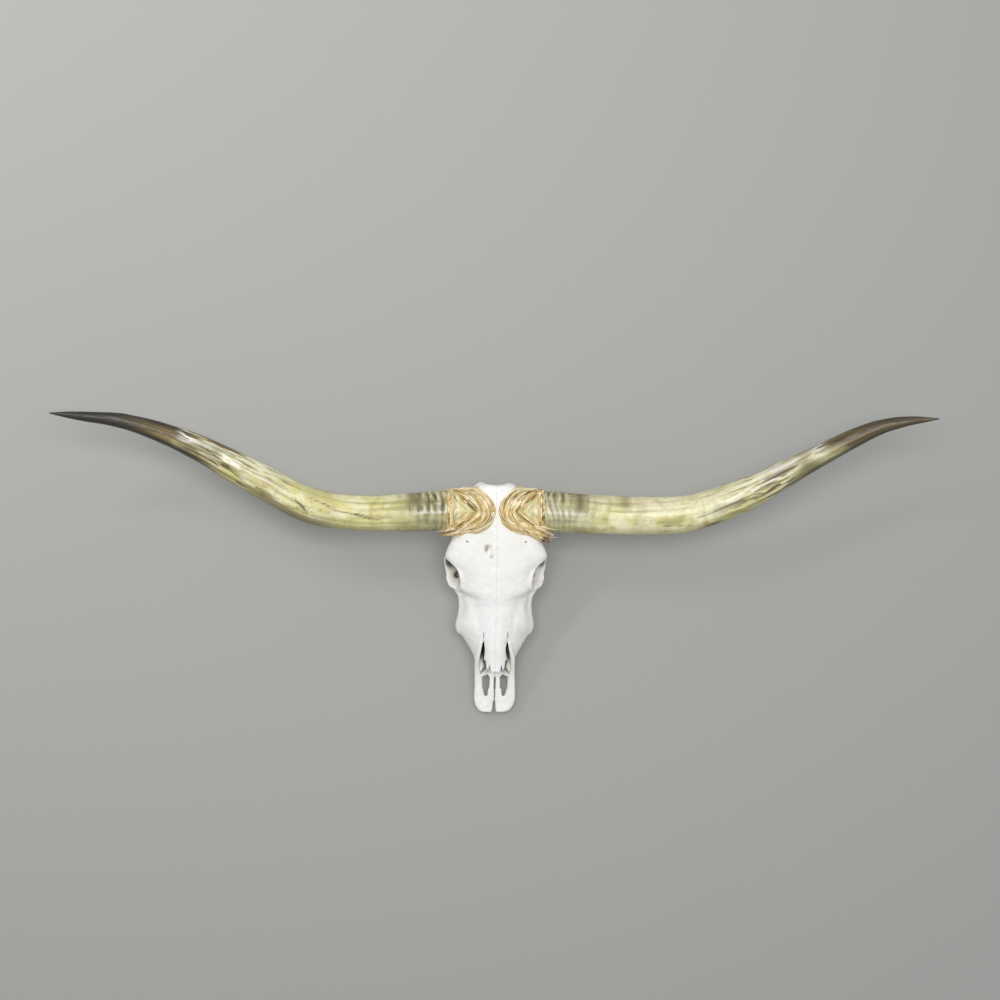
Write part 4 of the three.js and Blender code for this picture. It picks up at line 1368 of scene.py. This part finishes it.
        # A black spot on the nose-side edge.
        nose_edge_spot = ramp(front, 0.6, 0.9) * bump_at(out, 455, 34) * ramp(fibres + coarse, -0.5, 0.1)
        marks = [
            (bump_at(out, 663, 22) * (1 - ramp(abs(front), 0.3, 0.6)) * 0.7, OLIVE),
            (bump_at(out, 535, 90) * ramp(-front, 0.15, 0.6) * ramp(patch, -0.4, 0.1) * 0.8, CREAM),
            (edge * 0.75, (112, 108, 82)),
        ]
        last = (nose_edge_spot * 0.85, BLACK)
    return coated(tone, [
        *marks,
        # Painted shade along the edges: olive on the nose side all along, then black on both edges towards
        # the tip.
        (ramp(front, 0.5, 0.95) * 0.35, OLIVE),
        (ramp(front, 0.4, 0.8) * ramp(out, 540, 680) * max(tip_dark_and_edge_shade, 0.8), BLACK),
        (ramp(-front, 0.5, 0.9) * ramp(out, 620, 740) * (tip_dark_and_edge_shade - 0.15), BLACK),
        last,
        (grain["crack"] * 0.97, (52, 42, 28)),
    ])


def horn_surface(side, rings=620, around=110):
    sign = SIDES[side]
    seed = 100 if sign > 0 else 200
    line = smooth_line(HORNS[side]["line"], rings)
    _, across_way, rise = line_frame(line, (0, 0, 1))
    t = np.linspace(0, 1, rings)
    a = np.linspace(0, 2 * math.pi, around, endpoint=False)
    ring = across_way[:, None] * np.cos(a)[None, :, None]
    ring = ring + rise[:, None] * np.sin(a)[None, :, None] * HORN_FLATNESS
    out = np.repeat(np.abs(line[:, 0]), around)
    radius = HORNS[side]["radius"](t)
    s = np.repeat(run_along(line), around)
    turn = np.tile(a, rings)
    r = np.repeat(radius, around)
    way = ring.reshape(-1, 3)
    # 1 on the side towards the nose, -1 on the side towards the poll; turn 0 on top, rising noseward.
    front = -way[:, 1]
    side_turn = np.arctan2(front, way[:, 2])
    # Places on a straightened horn, so that streaks run along it and rings round it.
    flat = np.stack([s, 40 * np.cos(turn), 40 * np.sin(turn)], 1)
    lean = flat + np.stack([9 * speckle(flat, (70, 60, 60), seed), 0 * s, 0 * s], 1)
    fibres = layered(flat, (120, 5, 5), seed + 1)
    coarse = layered(flat, (90, 14, 14), seed + 2)
    scratch = speckle(flat, (46, 1.7, 1.7), seed + 3)
    sway = ((16, 29, 20), (8, 23, 21), (8, 23, 22))
    warp = np.stack([much * speckle(flat, size, seed + k) for much, size, k in sway], 1)
    warped = flat + warp
    blotch = layered(warped, (42, 24, 24), seed + 4)
    patch = layered(flat + 0.3 * warp, (46, 6.5, 6.5), seed + 5)
    # Rings round the base, uneven and closer together towards the skull.
    phase = (lean[:, 0] / (8.5 + 0.035 * s)) * 2 * math.pi + 1.2 * speckle(flat, (26, 16, 16), seed + 8)
    ringed = np.exp(-((s / 142) ** 6)) * np.clip(0.8 + 0.5 * speckle(flat, (26, 20, 20), seed + 9), 0, 1)
    broken = speckle(lean, (3.6, 13, 13), seed + 10)
    rings_wave = (0.6 * np.sin(phase) + 0.8 * broken) * ringed
    flecks = speckle(flat, (6, 3.4, 3.4), seed + 14)
    swell = 0.9 * rings_wave + 0.35 * np.sin(phase * 0.31 + 1) * np.exp(-s / 320)
    # Flaky stretch on the outer half, and the cracks.
    flaky = bump_at(out, *FLAKY[side])
    flakes = np.clip(patch * 2.2, -1, 1) * flaky
    crack = np.zeros(len(s))
    for start, end, turn_a, turn_b, wide in CRACKS[side]:
        inside = np.clip((out - start) / (end - start), 0, 1)
        middle = turn_a + (turn_b - turn_a) * inside + 0.02 * np.sin(inside * 9)
        middle = middle + 0.035 * speckle(flat, (22, 90, 90), 5)
        across_gap = np.abs((side_turn - middle + math.pi) % (2 * math.pi) - math.pi)
        fit = np.exp(-((across_gap / wide) ** 2)) * (inside > 0) * (inside < 1)
        fit = fit * np.sin(math.pi * inside) ** 0.4
        crack = np.maximum(crack, fit)
    scratches = np.clip(np.abs(scratch) * -6 + 0.55, 0, 1) * np.clip(blotch + 0.45, 0, 1)
    lumps = 0.4 * speckle(flat, (24, 11, 11), seed + 16) + 0.2 * speckle(flat, (9, 6, 6), seed + 17)
    height = swell + lumps + 0.22 * fibres + 0.45 * coarse * (0.5 + flaky) + 0.7 * flakes
    height = (height - 1.2 * crack - 0.25 * scratches) * np.clip(r / 12, 0.1, 1)
    places = np.repeat(line, around, axis=0) + way * (r + height)[:, None]
    grid, after, quads = ring_grid(rings, around)
    tone = horn_tone(side, out, front, dict(
        rings=rings_wave, ringed=ringed, fibres=fibres, coarse=coarse, patch=patch, blotch=blotch,
        scratches=scratches, flaky=flaky, crack=crack, flecks=flecks,
        bands=speckle(warped, (16, 60, 60), seed + 12),
    ))
    ends = np.array([line[0], line[-1] + unit(line[-1] - line[-2]) * 0.3])
    base, tip = rings * around, rings * around + 1
    root = np.stack([np.full(around, base), grid[0], after[0]], -1)
    point = np.stack([np.full(around, tip), after[-1], grid[-1]], -1)
    tone = np.vstack([tone, tone[:1], tone[-1:]])
    return np.vstack([places, ends]), quads, np.vstack([root, point]), tone


def add_horns(finish):
    for side, sign in SIDES.items():
        places, quads, triangles, tone = horn_surface(side)
        mesh = make_mesh(f"horn_sheath_{side}", places, quads[:, ::sign], triangles[:, ::sign], tone=tone)
        add_piece(f"horn_sheath_{side}", mesh, finish, "horn", f"horn_{side}")


# ---------- skirts ----------
def skirt_core(side, x):
    """The middle of the boss or horn at a distance from the midline, and its radius there."""
    line = smooth_line(HORNS[side]["line"], 400)
    lengths = run_along(line)
    out = np.abs(line[:, 0])
    y = np.where(x > BURR, np.interp(x, out, line[:, 1]), HORN_Y)
    z = np.where(x > BURR, np.interp(x, out, line[:, 2]), HORN_Z + boss_rise(x))
    share = np.interp(x, out, lengths / lengths[-1])
    radius = np.where(x > BURR, HORNS[side]["radius"](share), boss_radius(x))
    return y, z, radius


def skirt_point(side, x, turn, lift):
    """A place on the skirt: x from the midline, turn from the top towards the nose, lift off it."""
    y, z, radius = skirt_core(side, x)
    r = radius + lift
    return np.stack([x * SIDES[side], y - r * np.sin(turn), z + r * HORN_FLATNESS * np.cos(turn)], -1)


APEX_INNER, APEX_OUTER = 3, 48  # the first fibre and the one round the window, at the top


def fibre_x(number, turn):
    """How far out a fibre is at a turn: a C close to the midline, a V further out."""
    lean = np.where(turn > 0, 1.2, 0.94) * np.abs(turn) / math.radians(60)
    share = np.clip((number - APEX_INNER) / (APEX_OUTER - APEX_INNER), 0, 1)
    bend = 3.6 - 2.8 * share
    spread = 42 + 10 * share
    return number + spread * np.where(lean < 1, np.maximum(lean, 1e-6) ** bend, 1 + 3.6 * (lean - 1))


def fibre_line(x, turn):
    """Which fibre runs through a place: the number that it has at the top of the boss."""
    low, high = np.full(np.shape(x), -500.0), np.full(np.shape(x), 130.0)
    for _ in range(26):
        middle = (low + high) / 2
        short = fibre_x(middle, turn) < x
        low, high = np.where(short, middle, low), np.where(short, high, middle)
    return (low + high) / 2


END_BAND = {"right": 13, "left": 15}  # the closed band round the skirt's outer end
skirt_sag = {
    "right": profile((60, 0), (100, 5), (125, 3)),
    "left": profile((46, 0), (80, 9), (98, 14), (125, 8)),
}


def window_share(side, x, turn, number):
    """1 in the gap of the skirt where the horn's root shows, 0 outside it."""
    last = SKIRT_END[side] - 3 - END_BAND[side] + 2 * np.sin(turn * 5)
    return ramp(number, APEX_OUTER, APEX_OUTER + 2) * (1 - ramp(x, last - 2, last))


def skirt_lift(side, x, turn):
    """How thick the skirt is at a place, and the numbers that its colour comes from."""
    seed = 300 if SIDES[side] > 0 else 400
    number = fibre_line(x, turn)
    wander = np.stack([x, 46 * np.cos(turn), 46 * np.sin(turn)], 1)
    number = number + 1.6 * speckle(wander, 22, seed) + 0.5 * speckle(wander, 8, seed + 1)
    strands = np.stack([number, turn * 2.1 + x / 30, 0 * x + seed], 1)
    end = SKIRT_END[side]
    banded = ramp(x, end - 4 - END_BAND[side], end - END_BAND[side]) * (1 - ramp(turn, 0.7, 1.1))
    hoops = np.stack([x, turn * 3, 0 * x + seed], 1)
    bands, threads, hairs = (
        speckle(strands, (wide, long, 1), seed + k) * (1 - banded)
        + speckle(hoops, (wide, long, 1), seed + k) * banded
        for k, (wide, long) in enumerate(((6.0, 2.4), (2.4, 1.3), (0.95, 0.9)))
    )
    bulk = profile((3, 3.2), (9, 4.6), (28, 4.2), (80, 3.2), (end, 2.2))(x)
    lift = bulk + 1.9 * bands + 1.1 * threads + 0.3 * hairs
    lift = lift + skirt_sag[side](x) * bump_at(turn, 1.45, 1.25)
    gap = window_share(side, x, turn, number)
    lift = lift * (1 - gap) + gap * (0.35 + 0.12 * hairs + 0.4 * np.sin(x / 3.2 + 2 * bands))
    border = (1 - gap) * bump_at(number, APEX_OUTER - 3.5, 5.0)
    lift = lift + 1.9 * border
    ragged = end - 3 + 3 * speckle(np.stack([0 * x, 46 * np.cos(turn), 46 * np.sin(turn)], 1), 7, seed + 6)
    lift = lift - 8 * ramp(x, ragged - 2, ragged + 1)
    return lift, gap, bands, threads, hairs


def skirt_tone(x, gap, bands, threads, hairs):
    straw, shade = (250, 236, 190), (106, 88, 46)
    fibre = painted((220, 194, 130), len(x), [
        # Band and hair crests painted lighter and the gaps between bands and threads painted darker, as the
        # surface rises and falls with them: painted highlight and painted shade over the fibres' own light
        # and dark strands.
        (ramp(bands, 0.0, 0.6) * 0.6, straw),
        (ramp(-bands, 0.05, 0.5) * 0.6, (190, 158, 94)),
        (ramp(-bands, 0.35, 0.7) * 0.7, shade),
        (ramp(-threads, 0.15, 0.65) * 0.6, shade),
        (ramp(hairs, 0.3, 0.9) * 0.35, straw),
    ])
    window = painted((220, 212, 146), len(x), [
        # A painted highlight on the ridges of the window, which rise with the same wave.
        (ramp(np.sin(x / 3.2 + 2 * bands), 0.1, 0.9) * 0.7, (246, 242, 212)),
        (ramp(-threads, 0.0, 0.6) * 0.6, (150, 138, 76)),
        (ramp(bands + threads, 0.35, 0.9) * 0.6, (138, 108, 56)),
    ])
    return fibre * (1 - gap[:, None]) + window * gap[:, None]


def skirt_surface(side, rings=130, around=250):
    spread = np.linspace(0, 1, rings) ** 1.35
    x = 3 + (SKIRT_END[side] + 2 - 3) * spread
    turn = np.linspace(-math.pi, math.pi, around, endpoint=False)
    xs, turns = np.repeat(x, around), np.tile(turn, rings)
    lift, gap, bands, threads, hairs = skirt_lift(side, xs, turns)
    outer = skirt_point(side, xs, turns, lift)
    inner = skirt_point(side, xs, turns, np.minimum(lift - 1.2, -1.0))
    tone = skirt_tone(xs, gap, bands, threads, hairs)
    count = rings * around
    grid, after, shell = ring_grid(rings, around)
    lining = shell[:, ::-1] + count
    nose = np.stack([grid[0], after[0], after[0] + count, grid[0] + count], -1)
    end = np.stack([grid[-1], grid[-1] + count, after[-1] + count, after[-1]], -1)
    faces = np.vstack([shell, lining, nose, end])
    # The lining is painted darker than the shell: painted shade.
    return np.vstack([outer, inner]), faces, np.vstack([tone, tone * 0.6])


STRAND_RINGS, STRAND_SIDES = 16, 5


def strand_courses(side, rng):
    """Where each loose strand runs: x and turn along it, its thickness, and how far its end stands off."""
    share = np.linspace(0, 1, STRAND_RINGS)
    end = SKIRT_END[side]
    for k in range(620):
        number = rng.uniform(2, 47) if k % 3 else rng.uniform(36, 47.5)
        start = rng.uniform(0.0, 1.3) * rng.choice([-1, 1])
        turn = start + np.sign(start) * share * rng.uniform(0.3, 0.9)
        x = fibre_x(number, turn)
        if x[0] > 4 and x[-1] < end - 3:
            yield x, turn, rng.uniform(0.6, 1.9), 0.0, "fibre"
    # The bundle that hangs out along the front of the horn.
    for _ in range(110):
        x = rng.uniform(26, 72) + share * rng.uniform(38, 66)
        turn = rng.uniform(0.45, 1.15) + share**1.3 * rng.uniform(0.15, 0.55)
        thick = rng.uniform(0.5, 1.3) * (1.35 if side == "left" else 1)
        yield x, turn, thick, rng.uniform(0, 1) ** 3 * 5, "fibre"
    # Frayed ends all round the rim.
    for _ in range(200):
        x = end - rng.uniform(14, 36) + share * rng.uniform(12, 24)
        turn = rng.uniform(1.2, 2 * math.pi - 1.2) + share * rng.uniform(-0.12, 0.12)
        yield x, turn, rng.uniform(0.35, 0.9), rng.uniform(0, 1) ** 4 * 3, "fibre"
    # Hoops lying round the outer end.
    for _ in range(90):
        x = end - rng.uniform(3.5, END_BAND[side]) + share * rng.uniform(-2, 2)
        turn = rng.uniform(-1.5, 0.8) + share * rng.uniform(0.15, 0.5)
        yield x, turn, rng.uniform(0.5, 1.3), 0.0, "fibre"
    # The scrap of hide at the left skirt's front corner.
    for _ in range(26 if side == "left" else 0):
        x = rng.uniform(94, 106) + share * rng.uniform(3, 13)
        turn = rng.uniform(1.0, 1.5) + share * rng.uniform(0.0, 0.3)
        yield x, turn, rng.uniform(0.9, 2.0), rng.uniform(2, 10), "hide"


def skirt_strands(side):
    """Loose strands lying along the skirt's fibres, with the ends of some of them in the air."""
    rng = np.random.default_rng(31 if SIDES[side] > 0 else 32)
    places, quads, triangles, tones, uvs = [], [], [], [], []
    gold, straw, honey, shade = (
        np.array(tint(*t)) for t in ((224, 198, 136), (253, 242, 204), (194, 162, 98), (116, 94, 52))
    )
    hide = np.array(tint(134, 84, 72))
    share = np.linspace(0, 1, STRAND_RINGS)
    taper = np.sin(math.pi * np.interp(share, [0, 1], [0.06, 0.97])) ** 0.6
    a = np.linspace(0, 2 * math.pi, STRAND_SIDES, endpoint=False)
    total = 0
    for x, turn, thick, loose, kind in strand_courses(side, rng):
        lift, gap, *_ = skirt_lift(side, np.minimum(x, SKIRT_END[side] - 7), turn)
        if gap.mean() > 0.25:
            continue
        lift = np.maximum(lift, 0.4) + thick * 0.3 + rng.uniform(-0.3, 0.5) + loose * share**2.2
        path = skirt_point(side, x, turn, lift)
        along = unit(np.gradient(path, axis=0))
        core_y, core_z, _ = skirt_core(side, x)
        off = unit(path - np.stack([path[:, 0], core_y, core_z], -1))
        aside = unit(np.cross(along, off))
        girth = (thick * taper)[:, None, None]
        ring = path[:, None] + girth * (
            1.2 * aside[:, None] * np.cos(a)[None, :, None] + 0.8 * off[:, None] * np.sin(a)[None, :, None]
        )
        ring = ring.reshape(-1, 3)
        grid, _, around = ring_grid(STRAND_RINGS, STRAND_SIDES, total)
        places.append(ring)
        quads.append(around)
        for end, turned in ((grid[0], 1), (grid[-1], -1)):
            fan = np.stack([np.full(STRAND_SIDES - 2, end[0]), end[1:-1], end[2:]], -1)
            triangles.append(fan[:, ::turned])
        colour = (gold, straw, honey, shade)[rng.choice(4, p=(0.36, 0.36, 0.18, 0.1))]
        if kind == "hide":
            colour = hide
        tones.append(colour * (1 + 0.2 * speckle(ring, 6, 77))[:, None])
        root = np.array([x[0] / 140, (turn[0] / math.pi + 1) / 2 % 1]) * 0.98 + 0.004
        patch = np.stack(
            [np.repeat(share, STRAND_SIDES), np.tile(np.linspace(0, 1, STRAND_SIDES), STRAND_RINGS)], 1
        )
        uvs.append(root + 0.003 * patch)
        total += len(ring)
    return (np.vstack(a) for a in (places, quads, triangles, tones, uvs))


def add_skirts(finish):
    for side, sign in SIDES.items():
        places, faces, tone = skirt_surface(side)
        mesh = make_mesh(f"skirt_{side}", places, faces[:, ::sign], tone=tone)
        add_piece(f"skirt_{side}", mesh, finish, "skirt", f"horn_skirt_{side}")
        places, *faces, tone, uv = skirt_strands(side)
        faces = (kind[:, ::sign] for kind in faces)
        mesh = make_mesh(f"skirt_strands_{side}", places, *faces, tone=tone, uv=uv)
        add_piece(f"skirt_strands_{side}", mesh, finish, "skirt")


# ---------- bones ----------
def add_bones(finish):
    field = whole_skull()
    solid = field < 0
    # Painted shade for creases and hollows: how much bone lies round each place, and how much closed hollow
    # lies in front of its surface.
    filled = boxed_mean(widened(solid.astype(np.float32), False), 6)
    above = np.maximum.accumulate(solid[:, :, ::-1], axis=2)[:, :, ::-1]
    below = np.maximum.accumulate(solid, axis=2)
    inside = boxed_mean(widened((above & below & ~solid).astype(np.float32), False), 4)
    axes_whole = lattice_axes(False)
    for name, half_field in parted_skull(field).items():
        paired = name not in UNPAIRED
        axes = lattice_axes(paired)
        whole = widened(half_field, paired)
        if paired:
            whole = np.maximum(whole, (MIDLINE - axes[0])[:, None, None])
        places, faces = surface(whole, axes)
        places, faces = largest(places, faces)
        places = relaxed(places, faces, 2)
        depth = np.clip((lattice_value(filled, axes_whole, places) - 0.5) * 2.4, 0, 1)
        depth = depth + lattice_value(inside, axes_whole, places + 3.5 * normals_of(places, faces))
        for side, sign in SIDES.items():
            if not paired and side == "right":
                continue
            mirrored = places * [sign, 1, 1]
            turned = faces[:, ::sign]
            node = f"{name}_{side}" if paired else name
            piece = f"{name}_bone_{side}" if paired else f"{name}_bone"
            mesh = make_mesh(piece, weathered(mirrored, turned), turned, hollow=depth + shade_and_tint(mirrored))
            add_piece(piece, mesh, finish, "bone", node)


# ---------- the stage ----------
def add_stage():
    floor = bpy.data.meshes.new("floor")
    reach = 9.0
    corners = [(-reach, -reach, 0), (reach, -reach, 0), (reach, reach, 0), (-reach, reach, 0)]
    floor.from_pydata(corners, [], [(0, 1, 2, 3)])
    ground = bpy.data.objects.new("floor", floor)
    bpy.context.scene.collection.objects.link(ground)
    paper = Finish("pale_floor")
    paper.set(Base_Color=tint(170, 170, 165), Roughness=0.9, Specular_IOR_Level=0.2)
    floor.materials.append(paper.material)


def add_light(name, place, aim, size, watts):
    lamp = bpy.data.lights.new(name, "AREA")
    lamp.shape = "RECTANGLE"
    lamp.size, lamp.size_y = size
    lamp.energy = watts
    holder = bpy.data.objects.new(name, lamp)
    bpy.context.scene.collection.objects.link(holder)
    x, y, z = (a - b for a, b in zip(aim, place))
    holder.location = place
    holder.rotation_euler = (math.atan2(math.hypot(x, y), -z), 0, math.atan2(x, -y))


VIEW_ANGLE = 31.81  # degrees across the picture
CAMERA_PLACE = (0.0125, 0.147, 4.0)
# Each lamp's place, aim, size and watts.
LAMPS = {
    "key": ((-2.6, 2.9, 4.6), (0, 0, 0.1), (2.0, 1.6), 286),
    "overhead": ((0.1, 0.6, 4.3), (0, 0.1, 0), (2.4, 1.2), 92),
    "fill": ((2.6, -1.6, 1.9), (0, 0, 0.1), (2.0, 1.6), 15),
}


def add_camera_and_light():
    camera = bpy.data.cameras.new("camera")
    camera.sensor_width = 36
    camera.lens = camera.sensor_width / 2 / math.tan(math.radians(VIEW_ANGLE) / 2)
    holder = bpy.data.objects.new("camera", camera)
    holder.location = CAMERA_PLACE
    camera.clip_end = 60
    bpy.context.scene.collection.objects.link(holder)
    bpy.context.scene.camera = holder
    for name, lamp in LAMPS.items():
        add_light(name, *lamp)
    world = bpy.data.worlds.new("soft_room")
    bpy.context.scene.world = world
    world.use_nodes = True
    backdrop = world.node_tree.nodes["Background"]
    backdrop.inputs["Color"].default_value = (0.94, 0.96, 1, 1)
    backdrop.inputs["Strength"].default_value = 0.51


bpy.context.scene.view_settings.view_transform = "Standard"
add_camera_and_light()
add_stage()
add_bones(bone_finish())
add_teeth(tooth_finish())
add_horns(horn_finish())
add_skirts(skirt_finish())
